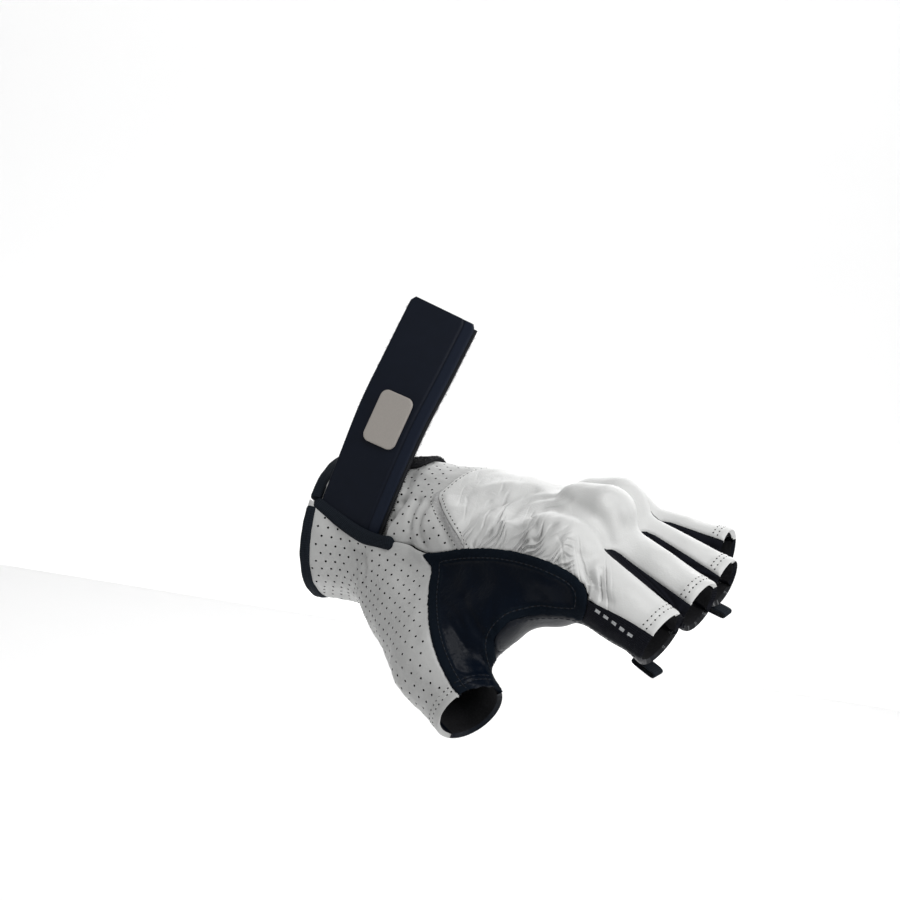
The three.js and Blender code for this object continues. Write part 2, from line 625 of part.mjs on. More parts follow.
// takes the piece out of the stock and leaves the gap round it
function carve(name, finish, cutter, without = []) {
  let piece = stock.intersect(cutter(0));
  for (const w of without) piece = piece.subtract(w);
  addPiece(name, piece, finish);
  stock = stock.subtract(cutter(GAP));
}

const wide = 200;
const knuckleOutline = (grow) => {
  const curve = new THREE.CatmullRomCurve3(KNUCKLE_SEAM.map((p) => new THREE.Vector3(p.x, p.y, 0)));
  const line = curve.getSpacedPoints(14).map((p) => [p.x, p.y]);
  return prism([[220, -41], ...line, [220, 50]], HAND, wide, -60, grow);
};
const webOutline = WEB_PATCH.map((p) => [p.along, p.up]);
const reachCutter = (grow) => sheet(REACH, 'up', REACH_COLUMNS, SIDE_FRAME, true, -grow, true);
const indexOutline = INDEX_SIDE.map((p) => [p.along, p.up]);
const pinkyOutline = PINKY_SIDE.map((p) => [p.x, p.z]);
const gripStart = GRIP_START.map((p) => [p.x, p.y]);
const thumbward = new THREE.Vector3(0, -1, 0).transformDirection(HAND);
const alongY = frameOf(new THREE.Vector3(), new THREE.Vector3(1, 0, 0), new THREE.Vector3(0, 0, 1),
  new THREE.Vector3(0, -1, 0)).premultiply(HAND);
const topSide = (grow) => sheet(TOP_LINE, 'x', TOP_COLUMNS, HAND, true, -grow);
const palmSide = (grow) => sheet(TOP_LINE, 'x', TOP_COLUMNS, HAND, false, grow);

for (const f of FOURCHETTES) carve(f.name, 'stretch_black', (grow) => fourchetteCutter(f, grow));
carve('web_patch', 'leather_black',
  (grow) => prism(webOutline, SIDE_FRAME, wide, 0, grow, 30).intersect(reachCutter(grow)));
carve('back_panel', 'leather_white', (grow) => knuckleOutline(grow).intersect(topSide(grow)));
carve('index_side', 'stretch_black', (grow) => prism(indexOutline, SIDE_FRAME, wide, 60, grow)
  .intersect(halfSpace(hand([0, -29 + grow, 0]), thumbward)));
carve('pinky_side', 'stretch_black',
  (grow) => prism(pinkyOutline, alongY, -36, -90, grow).intersect(palmSide(grow)));
carve('grip_panel', 'grip_black',
  (grow) => prism([[220, -60], ...gripStart, [220, 60]], HAND, wide, -160, grow).intersect(palmSide(grow)));

// trim that the wrist pieces keep clear of
function ellipseAt(angle, out, x) {
  const t = (x - CUFF.x0) / (CUFF.x1 - CUFF.x0);
  const hy = CUFF.y0 + (CUFF.y1 - CUFF.y0) * t + out;
  const hz = CUFF.z0 + (CUFF.z1 - CUFF.z0) * t + out;
  return new THREE.Vector3(x, hy * Math.cos(angle), hz * Math.sin(angle));
}

function rimPoints(from, to, count) {
  const points = [];
  for (let i = 0; i <= count; i++) {
    const p = ellipseAt(from + ((to - from) * i) / count, -0.9, 1.6);
    p.x -= RIM_TILT * p.z;
    points.push(p);
  }
  return points;
}

function tube(points, radius, steps, sides, roundEnd = false) {
  const curve = new THREE.CatmullRomCurve3(points);
  const ring = [];
  for (let i = 0; i < sides; i++) {
    const a = (2 * Math.PI * i) / sides;
    ring.push(new THREE.Vector2(radius * Math.cos(a), radius * Math.sin(a)));
  }
  const g = new THREE.ExtrudeGeometry(new THREE.Shape(ring),
    { steps, extrudePath: curve, bevelEnabled: false });
  let solid = fromGeometry(g);
  if (roundEnd) {
    const end = points[points.length - 1];
    const ball = new THREE.SphereGeometry(radius * 1.02, sides, 6).translate(end.x, end.y, end.z);
    solid = solid.add(fromGeometry(ball));
  }
  return solid;
}

// where round the opening the vent is, and how far the binding stops short of it each way
const VENT_ANGLE = Math.PI + Math.atan2(-16.5 / CUFF.z0, 25.3 / CUFF.y0);
const RIM_OPEN = 0.17;
function rimTube(grow) {
  const open = RIM_OPEN - grow / CUFF.z0;
  const line = rimPoints(VENT_ANGLE + open, VENT_ANGLE + 2 * Math.PI - open, 40);
  return tube(line, BINDING_R + grow, 40, 8);
}

function ventTube(grow) {
  const line = VENT_EDGE.map((p) => new THREE.Vector3(p.x, p.y, p.z));
  const ahead = line[1].clone().sub(line[0]).normalize();
  line[0].addScaledVector(ahead, -grow);
  return tube(line, VENT_BINDING_R + grow, 12, 8, true);
}

// strap: a bowed strip in the side frame
function strapPoints(s, across, out) {
  const at = strapCurve.getPointAt(s);
  const turnAt = strapTurn(s);
  const tangent = strapCurve.getTangentAt(s);
  const flat = new THREE.Vector3(tangent.y, -tangent.x, 0).normalize();
  const face = flat.clone().multiplyScalar(Math.cos(turnAt)).add(new THREE.Vector3(0, 0, Math.sin(turnAt)));
  const normal = face.clone().cross(tangent).normalize();
  return at.clone().addScaledVector(face, across).addScaledVector(normal, out).applyMatrix4(SIDE_FRAME);
}
const strapCurve = new THREE.CatmullRomCurve3(
  STRAP_LINE.map((p) => new THREE.Vector3(p.along, p.up, p.toward)));

function strapTurn(s) {
  const x = s * (STRAP_LINE.length - 1);
  const i = Math.min(Math.floor(x), STRAP_LINE.length - 2);
  return rad(THREE.MathUtils.lerp(STRAP_LINE[i].turn, STRAP_LINE[i + 1].turn, x - i));
}

// a strip along the strap: section gives a closed outline of across and out at each t
function strip(section, from, to, count) {
  const points = [];
  for (let i = 0; i <= count; i++) {
    const t = i / count;
    for (const [across, out] of section(t)) points.push(strapPoints(from + (to - from) * t, across, out));
  }
  const m = section(0).length;
  const faces = [];
  for (let i = 0; i < count; i++) {
    for (let j = 0; j < m; j++) {
      const k = (j + 1) % m;
      faces.push([i * m + j, (i + 1) * m + k, (i + 1) * m + j], [i * m + j, i * m + k, (i + 1) * m + k]);
    }
  }
  for (let j = 1; j < m - 1; j++) {
    faces.push([0, j + 1, j], [count * m, count * m + j, count * m + j + 1]);
  }
  return solidOf(points, faces);
}

function bar(half, low, high) {
  return [[-half, high], [half, high], [half, low], [-half, low]];
}
const half = STRAP_WIDTH / 2;
const strapLength = strapCurve.getLength();
// the face has a lower border past its embossed line, and its free end is a little rounded
const faceSection = (t) => {
  const w = half - 1.5 * THREE.MathUtils.smoothstep(t, 0.97, 1);
  return [
    [-w + 0.4, STRAP_FACE_T], [w - 5.4, STRAP_FACE_T], [w - 4.8, STRAP_FACE_T - 0.6],
    [w - 4.2, STRAP_FACE_T - 0.2], [w - 0.5, STRAP_FACE_T - 0.3], [w, STRAP_FACE_T - 0.8],
    [w, 0], [-w, 0], [-w, STRAP_FACE_T - 0.5],
  ];
};
const hookSection = () => bar(half + 0.6, -STRAP_HOOK_T - GAP, -GAP);
const patchSection = (t) => {
  const end = Math.min(t, 1 - t) * PATCH.length;
  const short = Math.max(0, PATCH.corner - end);
  const inset = PATCH.corner - Math.sqrt(PATCH.corner ** 2 - short ** 2);
  return bar(PATCH.width / 2 - inset, STRAP_FACE_T + GAP, STRAP_FACE_T + GAP + PATCH.thick);
};
const strapFace = strip(faceSection, 0, 1, 22);
const strapHook = strip(hookSection, 0.02, 0.985, 22);
const roomSection = () => bar(half + 1.2, -STRAP_HOOK_T - GAP - 0.7, STRAP_FACE_T + 0.5);
const strapRoom = strip(roomSection, 0, 0.3, 8);
const patchEnds = [-0.5, 0.5].map((e) => (PATCH_AT + e * PATCH.length) / strapLength);
const strapPatch = strip(patchSection, ...patchEnds, 14);

// an oval in a frame, its long side along x
function oval(length, width, inset, power = 2.6) {
  const points = [];
  const count = 28;
  for (let i = 0; i < count; i++) {
    const a = (2 * Math.PI * i) / count;
    const c = Math.cos(a);
    const s = Math.sin(a);
    points.push([
      (length / 2 - inset) * Math.sign(c) * Math.abs(c) ** (2 / power),
      (width / 2 - inset) * Math.sign(s) * Math.abs(s) ** (2 / power),
    ]);
  }
  return points;
}

// a frame on the hand: z along the outward normal, x as near as can be to a heading
function placed(at, normal, along) {
  const z = vec(normal).normalize();
  const x = vec(along);
  x.addScaledVector(z, -x.dot(z)).normalize();
  return frameOf(vec(at), x, z.clone().cross(x), z).premultiply(HAND);
}

const sliderFrame = placed(SLIDER.at, SLIDER.normal, SLIDER.along);
const sliderBox = { min: [6, -38, -64], max: [118, 58, 32] };
function sliderSolid() {
  const part = (inset, thick) => formMesh(thick, sliderBox)
    .intersect(prism(oval(SLIDER.length, SLIDER.width, inset), sliderFrame, 40, 0));
  let solid = part(0, SLIDER.edge).add(part(SLIDER.rim, SLIDER.thick));
  for (let row = 0; row < 2; row++) {
    for (let col = 0; col < 3; col++) {
      const x = SLIDER.length / 2 - 11 - col * 5;
      const y = -5 + row * 5;
      const h = SLIDER.hole / 2;
      const square = [[x - h, y - h], [x + h, y - h], [x + h, y + h], [x - h, y + h]];
      const pit = prism(square, sliderFrame, 40, 0).subtract(formMesh(SLIDER.thick - 1.2, sliderBox));
      solid = solid.subtract(pit);
    }
  }
  return solid.subtract(formMesh(SEAT, sliderBox));
}

// loop pad: pile sewn on the back of the wrist
const padBox = { min: [-26, -38, -8], max: [62, 58, 64] };
function padSolid() {
  const corners = LOOP_PAD.map((p) => new THREE.Vector3(p.x, p.y, 0));
  const curve = new THREE.CatmullRomCurve3(corners, true, 'catmullrom', 0.25);
  const outline = curve.getPoints(36).slice(0, -1).map((p) => [p.x, p.y]);
  return formMesh(SEAT + PILE_T, padBox).intersect(prism(outline, ROW, 60, 8))
    .subtract(formMesh(SEAT, padBox));
}

// pull tab: a flat loop of tape under a finger's cuff
function tabSolid(name) {
  const f = FINGERS[name];
  const along = heading(f.ab, f.flex);
  const down = new THREE.Vector3(-Math.sin(rad(f.flex)), 0, -Math.cos(rad(f.flex)));
  const at = vec(f.mcp).addScaledVector(along, f.len - 0.5).addScaledVector(down, f.r1 + 1.6);
  const across = down.clone().cross(along);
  const frame = frameOf(at, along, down, across.negate().clone()).premultiply(HAND);
  const ring = (l, t) => {
    const pts = [];
    for (let i = 0; i < 16; i++) {
      const a = (2 * Math.PI * i) / 16;
      pts.push([Math.sign(Math.cos(a)) * (l - t) * 0.5 + t * 0.5 * Math.cos(a), t * 0.5 * Math.sin(a)]);
    }
    return pts;
  };
  const tape = prism(ring(TAB.length, 2 * TAB.thick + 0.6), frame, TAB.width / 2, -TAB.width / 2);
  const loop = tape.subtract(prism(ring(TAB.length - 2 * TAB.thick, 0.6), frame, TAB.width, -TAB.width));
  return loop.subtract(formMesh(SEAT));
}

function clear(solid) {
  return solid.subtract(rimTube(GAP)).subtract(ventTube(GAP)).subtract(strapRoom);
}
stock = clear(stock);
carve('wrist_panel', 'leather_white_perforated',
  (grow) => sheet(WRIST_LINE, 'x', WRIST_COLUMNS, ROW, true, -grow));
carve('thumb_panel', 'leather_white_perforated', reachCutter);
addPiece('palm_panel', stock, 'leather_black');
addPiece('wrist_binding', rimTube(0), 'binding_black');
addPiece('vent_binding', ventTube(0), 'binding_black');
addPiece('strap_face', strapFace.subtract(rimTube(GAP)).subtract(ventTube(GAP)), 'strap_charcoal');
addPiece('loop_pad', padSolid().subtract(strapRoom).subtract(rimTube(GAP)), 'pile_black');
addPiece('strap_patch', strapPatch, 'patch_grey');
addPiece('palm_slider', sliderSolid(), 'slider_black');
addPiece('pull_tab_index', tabSolid('index'), 'binding_black');
addPiece('pull_tab_ring', tabSolid('ring'), 'binding_black');
addPiece('strap_hook', strapHook.subtract(rimTube(GAP)).subtract(ventTube(GAP)), 'pile_black');

export default group;
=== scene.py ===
"""Looks of a fingerless motorcycle glove for the left hand, worn shape, strap pulled up.

Shapes are worked out in millimetres in the part's own frame: origin in the middle of the wrist
opening, +X into the glove, +Z out of the back of the wrist, +Y to the little finger side.
"""

import math

import bpy
import numpy as np
from mathutils import Matrix, Vector, kdtree


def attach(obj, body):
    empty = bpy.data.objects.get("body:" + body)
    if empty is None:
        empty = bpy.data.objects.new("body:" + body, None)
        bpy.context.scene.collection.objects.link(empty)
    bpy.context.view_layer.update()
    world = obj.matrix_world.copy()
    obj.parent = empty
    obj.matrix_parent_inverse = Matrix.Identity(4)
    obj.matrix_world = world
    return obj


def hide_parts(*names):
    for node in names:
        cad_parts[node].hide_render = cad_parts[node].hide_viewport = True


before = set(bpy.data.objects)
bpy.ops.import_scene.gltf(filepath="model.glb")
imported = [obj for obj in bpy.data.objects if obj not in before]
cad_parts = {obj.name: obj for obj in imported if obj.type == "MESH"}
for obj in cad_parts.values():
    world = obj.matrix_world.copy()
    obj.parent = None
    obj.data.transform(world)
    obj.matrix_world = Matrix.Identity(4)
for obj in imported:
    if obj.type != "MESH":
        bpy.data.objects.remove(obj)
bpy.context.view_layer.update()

bl_info = {
    "name": "Motorcycle Glove",
    "version": (1, 0, 0),
    "blender": (4, 5, 0),
    "location": "3D View > Sidebar > Glove",
    "description": "Builds a fingerless leather glove, its strap and trim, and a plain studio",
    "category": "Object",
}

MM = 0.001
FAR = 1e9  # farther than anything here
TINY = 1e-12  # keeps a division from nought


def table(columns, *rows):
    """Rows under named columns."""
    return [dict(zip(columns.split(), row)) for row in rows]


def by_name(columns, *rows):
    return {row["name"]: row for row in table(columns, *rows)}


# The hand is bent back from the forearm and turned to the thumb side, degrees.
WRIST = np.array([34.0, 0.0, 0.0])
HAND_TURN = {"pitch": 21.0, "yaw": -16.0}
SIDE_VIEW = {"turn": 16.7, "raise": 17.6, "roll": 9.2}
CAMERA = {
    "turn": 16.732831,
    "raise": 17.605616,
    "roll": 9.229146,
    "target": (43.719, -4.596, 43.542),
    "distance": 967.51,
    "focal": 2551.664,  # in pixels of a frame 900 wide
}
RIM_TILT = 0.11
CUFF = {"x0": -14.0, "x1": 34.0, "y0": 33.5, "y1": 30.0, "z0": 27.0, "z1": 25.0}

# mcp is the knuckle in the hand frame; cuff is how far along the finger its hem is.
FINGERS = by_name(
    "name mcp splay flex cuff r0 r1 tail",
    ("index", (90, -27, -1), -2.4, 37.5, 44, 13.5, 11.3, 56),
    ("middle", (93, -5, -0.5), -2.6, 32.3, 42.5, 11.4, 10.0, 57.5),
    ("ring", (86, 15, -0.5), 3.7, 28.3, 45, 11.3, 9.4, 58),
    ("pinky", (77, 33, -4), 8.7, 17.5, 41, 11.0, 9.0, 52),
)
HAND_BONES = by_name(
    "name start r end end_r bump bump_r",
    ("index", (6, -14, 10), 17.5, (84, -27, -1), 15.0, (87, -27, 8.3), 10.3),
    ("middle", (4, -4, 12), 18.0, (87, -5, 3), 14.3, (90, -5, 12.8), 11.0),
    ("ring", (3, 6, 9), 18.0, (80, 15, 1), 13.3, (83, 15, 10.3), 10.7),
    ("pinky", (4, 14, 3), 17.0, (71, 33, -4), 12.5, (74, 33, 3.5), 9.3),
)
THUMB_ROOT = (11, -25, -10)
THUMB_ROOT_R = 17.0
THUMB_LINKS = table(
    "yaw flex length r blend",
    (-41.3, 23.4, 47.5, 15.2, 10),
    (-27.0, 36.6, 33.5, 12.4, 6),
    (-46.0, 37.5, 14.0, 11.7, 5),
)
THUMB_HEM = 0.74  # along the thumb's second link
FLESH = table(
    "name a ra b rb blend",
    ("heel", (14, 16, -10), 15, (60, 30, -12), 12, 10),
    ("palm", (30, -22, -10), 14, (84, -27, -9), 13.5, 8),
    ("web_top", (40, -34, -14), 11, (68, -42, -14), 9, 12),
    ("web_low", (44, -46, -25), 11.5, (60, -45, -20), 7, 12),
    ("palm_middle", (20, 8, -10), 14, (80, 12, -8), 12, 10),
    ("back", (16, 2, 12.5), 16.7, (50, 4, 8), 15.2, 12),
)
# Main folds: lines on the leather in the part's own frame, half width and depth. A negative depth is
# a ridge.
FOLDS = table(
    "name line width depth",
    ("cuff bend", [(22, -33, 8), (30, -28, -20)], 4.0, 1.1),
    ("cuff ridge", [(30, -34, 8), (38, -32, -18)], 4.5, -0.8),
    ("cuff crease", [(24, -33, 8), (26, -35, 5), (28, -37, 1), (28, -38, -4)], 1.3, 0.7),
    ("wrist crease", [(38, -24, 25), (44, -38, 16)], 3.5, 1.2),
    ("wrist ridge", [(44, -20, 29), (50, -36, 22)], 3.5, -0.8),
    ("wrist a", [(41, -27, 29), (41, -33, 25), (42, -37, 21)], 1.5, 1.1),
    ("wrist b", [(46, -29, 30), (45, -34, 27), (47, -39, 22), (51, -42, 18)], 1.6, 1.0),
    ("wrist c", [(34, -27, 27), (34, -31, 22), (32, -32, 19)], 1.5, 0.8),
    ("wrist d", [(50, -28, 32), (51, -33, 30), (56, -41, 27), (62, -47, 22)], 1.8, 0.7),
    ("wrist e", [(33, -13, 33), (34, -21, 30), (34, -27, 27)], 2.0, 0.6),
    ("tendon", [(65, -45, 29), (70, -34, 36), (77, -28, 39), (83, -21, 42)], 2.4, 0.9),
    ("back ridge", [(61, -34, 33), (65, -23, 38), (74, -20, 41)], 3.5, -0.6),
    ("index bump back", [(80, -41, 37), (82, -30, 40), (90, -26, 43), (100, -36, 47)], 2.2, 0.7),
    ("index bump front", [(104, -39, 47), (110, -42, 47), (117, -43, 43), (120, -44, 39)], 2.4, 0.6),
    ("middle bump front", [(116, -38, 52), (121, -39, 46), (124, -40, 42)], 2.4, 0.5),
    ("index base", [(117, -60, 36), (121, -67, 26)], 3.5, 1.0),
    ("index base a", [(123, -61, 34), (125, -65, 29), (129, -68, 25)], 1.4, 0.7),
    ("index base b", [(119, -63, 32), (123, -66, 28), (126, -68, 25)], 1.3, 0.6),
    ("index base c", [(114, -61, 37), (116, -63, 33), (120, -65, 30)], 1.3, 0.6),
    ("back low", [(82, -55, 29), (86, -52, 35), (92, -54, 40)], 1.6, 0.6),
    ("web fold", [(84, -66, 2), (104, -64, 16)], 5.0, 0.9),
    ("web a", [(90, -69, -2), (84, -70, 2), (79, -67, 6), (74, -60, 9)], 1.8, 0.9),
    ("web b", [(91, -68, 0), (88, -69, 7), (87, -67, 12)], 1.6, 0.7),
    ("web c", [(66, -59, 5), (74, -65, 4), (79, -70, 1)], 1.3, 0.5),
    ("web d", [(70, -65, 3), (76, -70, 0), (81, -72, -4)], 1.3, 0.5),
    ("thumb a", [(79, -79, -10), (86, -78, -11), (90, -69, -12)], 1.2, 0.5),
    ("thumb b", [(83, -84, -14), (90, -83, -14), (94, -76, -14)], 1.1, 0.4),
)

# Height of the line between the top and the palm side over the hand frame, by column across.
TOP_COLUMNS = {"thumb_side": -36, "index": -28, "middle": -6, "ring": 17, "pinky": 37, "outer": 43}
TOP_LINE = table(
    "x thumb_side index middle ring pinky outer",
    (-60, 3, 0, 0, 0, 0, 0),
    (52, 3, 0, 3, 1, -2, -1),
    (77, 2, 0, 3, 1, -3, -2),
    (92, -1, -2, 1, -3, -9, -6),
    (103, -9, -11, -6, -9, -12, -9),
    (111, -13, -17, -11, -12, -15, -12),
    (123, -20, -26, -18, -18, -19, -16),
    (150, -39, -47, -34, -32, -27, -25),
)
WRIST_COLUMNS = {"thumb_side": -20, "outer": 20}
WRIST_LINE = table(
    "x thumb_side outer",
    (-20, 21, -3),
    (1, 16.5, -2),
    (9, 14.3, -1),
    (18, 12.3, 0),
    (25, 11.6, 0),
    (32, 12.1, 0),
    (41, 14.7, 0.5),
    (53, 15.2, 4),
    (80, 17, 15),
    (180, 17, 55),
)
# How deep the pieces seen from the thumb side reach round. The side frame looks at the glove as the
# camera does: x is along, y is up and z is toward the camera.
REACH_COLUMNS = {"edge": -30, "cuff": 0, "wrist": 20, "thumb_root": 41, "web": 60, "index": 100}
REACH = table(
    "up edge cuff wrist thumb_root web index",
    (-110, 30, 60, 70, 88, 95, 105),
    (-60, 15, 30, 54, 77, 85, 95),
    (-48, 5, 12, 38, 67, 79, 88),
    (-30, 0, 2, 24, 50, 66, 75),
    (-10, 0, 0, 12, 36, 48, 60),
    (60, 0, 0, 5, 20, 30, 30),
)
# Seams: knuckle seam over the hand frame's x and y, the next two over the side frame's along and
# up, the little finger strip over the hand frame's x and z.
KNUCKLE_SEAM = [
    (58, -41), (53, -36.7), (48.6, -33.7), (43.2, -29.9), (37.8, -25.3), (34.4, -21.7), (31.5, -18.0),
    (32.2, -13.5), (33, -8), (34.5, 1), (38.5, 10), (46, 19), (56, 27), (66, 34), (76, 41), (84, 50),
]
WEB_PATCH = [
    (35.8, -9.1), (41.5, -8.2), (50.2, -6.5), (60.7, -6), (68.8, -6.8), (75.9, -8.4), (81.6, -10.4),
    (86.5, -12.7), (90.5, -15.5), (93, -18.8), (93.7, -23), (92.4, -31), (88.6, -29.9), (79, -29.5),
    (71.5, -30.6), (66.5, -32.5), (62, -39), (64, -50), (70, -58), (57, -58.8), (51.5, -58.6), (47.2, -55),
    (43.5, -49), (40.4, -41.8), (38.4, -34), (37.8, -26.2), (38.2, -19.2), (38.9, -13.6),
]
INDEX_SIDE = [(88, -16), (112, -22), (140, -40), (140, -59), (115, -44.2), (103, -37.4), (92.3, -31.4)]
PINKY_SIDE = [(64, 4), (135, 0), (140, -32), (118, -23.5), (98, -17), (80, -10.5), (66, -3)]
GRIP_START = [(70, -60), (67, -40), (69, -20), (70, 0), (68, 20), (66, 40), (64, 60)]
FOURCHETTES = table(
    "name a b tip full half crotch",
    ("fourchette_index_middle", "index", "middle", 7, 11, 3.7, 27),
    ("fourchette_middle_ring", "middle", "ring", 8, 13, 4.7, 28),
    ("fourchette_ring_pinky", "ring", "pinky", 11, 16, 6.0, 27),
)
FOURCHETTE_DEPTH = -5.0  # how low the stretch sides reach between the fingers
VENT_EDGE = [
    (-0.5, -23.8, 16.2), (9.2, -26.2, 13.6), (18.3, -29.4, 11.6), (25.1, -31.8, 10.8),
    (31.6, -34.0, 11.4), (38.0, -36.4, 13.2),
]
VENT_ANGLE = math.pi + math.atan2(-16.5 / 27, 25.3 / 33.5)
STRAP_LINE = table(
    "along up toward turn",
    (7.6, 1.5, 32.5, 29),
    (9.6, 7.0, 33.5, 29),
    (16.0, 23.0, 35.0, 27),
    (24.2, 42.5, 35.0, 22),
    (33.5, 61.0, 34.0, 18),
    (44.0, 82.0, 32.0, 16),
)
LOOP_PAD = [(4, -2), (20, -7), (33, -9), (37, -4), (38, 10), (36, 24), (33, 27), (18, 27), (5, 25), (3, 20)]
SLIDER = dict(at=(30, 16, -8), normal=(0, 0.42, -0.9), along=(1, 0.12, 0), length=58, width=32)
# The slider's section: how far in from its outline and how high over the leather.
SLIDER_UNDER = [(15.4, 0.45), (12.0, 0.45), (8.0, 0.45), (4.0, 0.45)]
SLIDER_OVER = [
    (0.3, 0.45), (0.0, 0.75), (0.0, 1.4), (0.5, 1.85), (1.4, 1.9), (2.6, 1.9), (3.3, 2.1), (3.7, 2.8),
    (3.9, 3.9), (4.4, 4.75), (5.1, 5.1), (5.9, 5.15), (6.6, 4.95), (7.0, 4.7), (7.5, 4.75), (8.1, 4.95),
    (8.9, 4.9), (9.6, 4.7), (10.6, 4.75), (12.0, 4.9), (13.4, 5.0), (14.6, 5.05), (15.4, 5.05),
]
SLIDER_HOLES = dict(rows=2, columns=3, pitch=5, first=11, low=-5, width=2.2, height=6.0, floor=4.0)

# Distances from an edge, millimetres: sewn rows, and how far the perforations keep off.
AT_EDGE = 0.4
HEM_WIDTH = 6.2
HEM_ROWS = (3.0, 4.9)
KNUCKLE_ROW = 1.3
EDGING_ROW = 3.2
WEB_ROW = 1.2
PALM_ROW = 1.6
HOLES_KEEP_OFF = dict(seam=2.6, rim=4.2, knuckle=4.2, hem=6.6)
RIM_BINDING = dict(x=1.6, inset=0.9, ends=1.2, half_wide=2.15, half_thick=2.1)
VENT_BINDING = dict(ends=2.6, half_wide=2.7, half_thick=2.5)
STRAP = dict(half=14.0, groove=9.2, thick=1.6)
STRAP_HOOKS = dict(half=14.6, low=-2.1, high=-0.3, count=1500)
STRAP_PATCH = dict(at=45.5, half_wide=7.0, half_long=10.5, corner=3.0, lift=1.9)
PAD_LOOPS = 3600
TAB = dict(half_long=5.0, half_thick=1.0, half_wide=2.9, tape=0.28, count=48)

# The studio, in metres. Lamps are placed by the camera's right, up and toward it.
LAMPS = table(
    "name place size power",
    ("top", (0.2, 1.1, 0.8), 0.7, 7.2),
    ("back", (0.2, 0.75, -1.1), 1.2, 6.0),
    ("right", (1.2, 0.3, 0.9), 0.9, 7.2),
    ("edge", (1.1, 0.5, -0.9), 0.9, 2.8),
)
SWEEP = dict(width=9, length=7, flat=3.4, bend=1.0, front=1.9, drop=0.55)
WORLD_LIGHT = 0.33


# Sizes and colours a user can change.


def length_property(name, description, default):
    return bpy.props.FloatProperty(name=name, description=description, default=default, unit="LENGTH")


class GloveSizes(bpy.types.PropertyGroup):
    wall: length_property("Wall", "Leather with its lining", 0.0018)
    mesh_pitch: length_property("Mesh pitch", "Size of the leather's faces", 0.00075)
    hole_pitch: length_property("Hole pitch", "Distance of the perforations in a row", 0.0041)
    hole_width: length_property("Hole width", "Width of a perforation", 0.0009)
    stitch_pitch: length_property("Stitch pitch", "Length of one stitch with its gap", 0.0023)
    border: length_property("Web border", "Width of the web patch's border", 0.0046)
    hexagon: length_property("Grip hexagon", "Width of a hexagon of the grip", 0.0062)


def colour_property(name, description, default):
    return bpy.props.FloatVectorProperty(
        name=name, description=description, default=default, size=3, min=0, max=1, subtype="COLOR")


class GloveColours(bpy.types.PropertyGroup):
    white: colour_property("White leather", "Back of the hand", (0.78, 0.785, 0.775))
    black: colour_property("Black leather", "Palm and web", (0.0014, 0.0036, 0.0085))
    stretch: colour_property("Stretch knit", "Sides of the fingers", (0.0058, 0.0066, 0.0105))
    strap: colour_property("Strap", "Face of the strap", (0.0046, 0.0075, 0.0158))
    patch: colour_property("Patch", "Patch on the strap", (0.43, 0.40, 0.37))
    edging_and_shadow: colour_property("Edging", "Grey edge at the knuckle seam", (0.36, 0.36, 0.36))
    # Grey of the band by the knuckle seam; the same grey paints a thin line of shadow right at the seam.
    floor: colour_property("Floor", "Floor and backdrop", (0.9, 0.9, 0.9))


def sizes():
    return bpy.context.scene.glove_sizes


def colours():
    return bpy.context.scene.glove_colours


# Frames, lines and outlines.


class Axes:
    """A frame with its origin and three axes, in the part's own frame."""

    def __init__(self, origin, x, y, z):
        self.origin = np.array(origin, float)
        self.rows = np.array([x, y, z], float)

    def local(self, points):
        return (np.asarray(points, float) - self.origin) @ self.rows.T

    def world(self, points):
        return self.origin + np.asarray(points, float) @ self.rows


def unit(v):
    v = np.asarray(v, float)
    return v / np.maximum(np.linalg.norm(v, axis=-1, keepdims=True), TINY)


def hand_axes():
    lift, turn = (math.radians(HAND_TURN[k]) for k in ("pitch", "yaw"))
    up = np.array([[math.cos(lift), 0, -math.sin(lift)], [0, 1, 0], [math.sin(lift), 0, math.cos(lift)]])
    flat = np.array([[math.cos(turn), -math.sin(turn), 0], [math.sin(turn), math.cos(turn), 0], [0, 0, 1]])
    return Axes(WRIST, *(up @ flat).T)


def view_axes(turn, lift, roll, origin=(0, 0, 0)):
    a, e, r = (math.radians(v) for v in (turn, lift, roll))
    toward = np.array([math.sin(a) * math.cos(e), -math.cos(a) * math.cos(e), math.sin(e)])
    level = np.array([math.cos(a), math.sin(a), 0])
    rise = np.cross(toward, level)
    along = math.cos(r) * level + math.sin(r) * rise
    return Axes(origin, along, math.cos(r) * rise - math.sin(r) * level, toward)


HAND = hand_axes()
SIDE = view_axes(SIDE_VIEW["turn"], SIDE_VIEW["raise"], SIDE_VIEW["roll"])


def heading(yaw, flex):
    y, f = math.radians(yaw), math.radians(flex)
    return np.array([math.cos(f) * math.cos(y), math.cos(f) * math.sin(y), -math.sin(f)])


def finger_point(name, along):
    f = FINGERS[name]
    return HAND.world(np.array(f["mcp"]) + heading(f["splay"], f["flex"]) * along)


def between_fingers(row):
    a0, b0, a1, b1 = (finger_point(row[k], s) for s in (0, 45) for k in ("a", "b"))
    origin = (a0 + b0) / 2
    along = unit((a1 + b1) / 2 - origin)
    up = unit(np.cross(along, b1 - a1))
    return Axes(origin, along, np.cross(up, along), up)


def smooth_line(points, count, closed=False):
    """Even steps along a Catmull-Rom curve through the points."""
    p = np.asarray(points, float)
    if closed:
        p = np.vstack([p[-1], p, p[0], p[1]])
    else:
        p = np.vstack([2 * p[0] - p[1], p, 2 * p[-1] - p[-2]])
    t = np.linspace(0, 1, 24, endpoint=False)[:, None]
    parts = []
    for a, b, c, d in zip(p[:-3], p[1:-2], p[2:-1], p[3:]):
        parts.append(0.5 * (2 * b + (c - a) * t + (2 * a - 5 * b + 4 * c - d) * t**2
                            + (3 * b - a - 3 * c + d) * t**3))
    dense = np.vstack(parts + [p[-2][None]])
    return resampled(dense, count)[: -1 if closed else None]


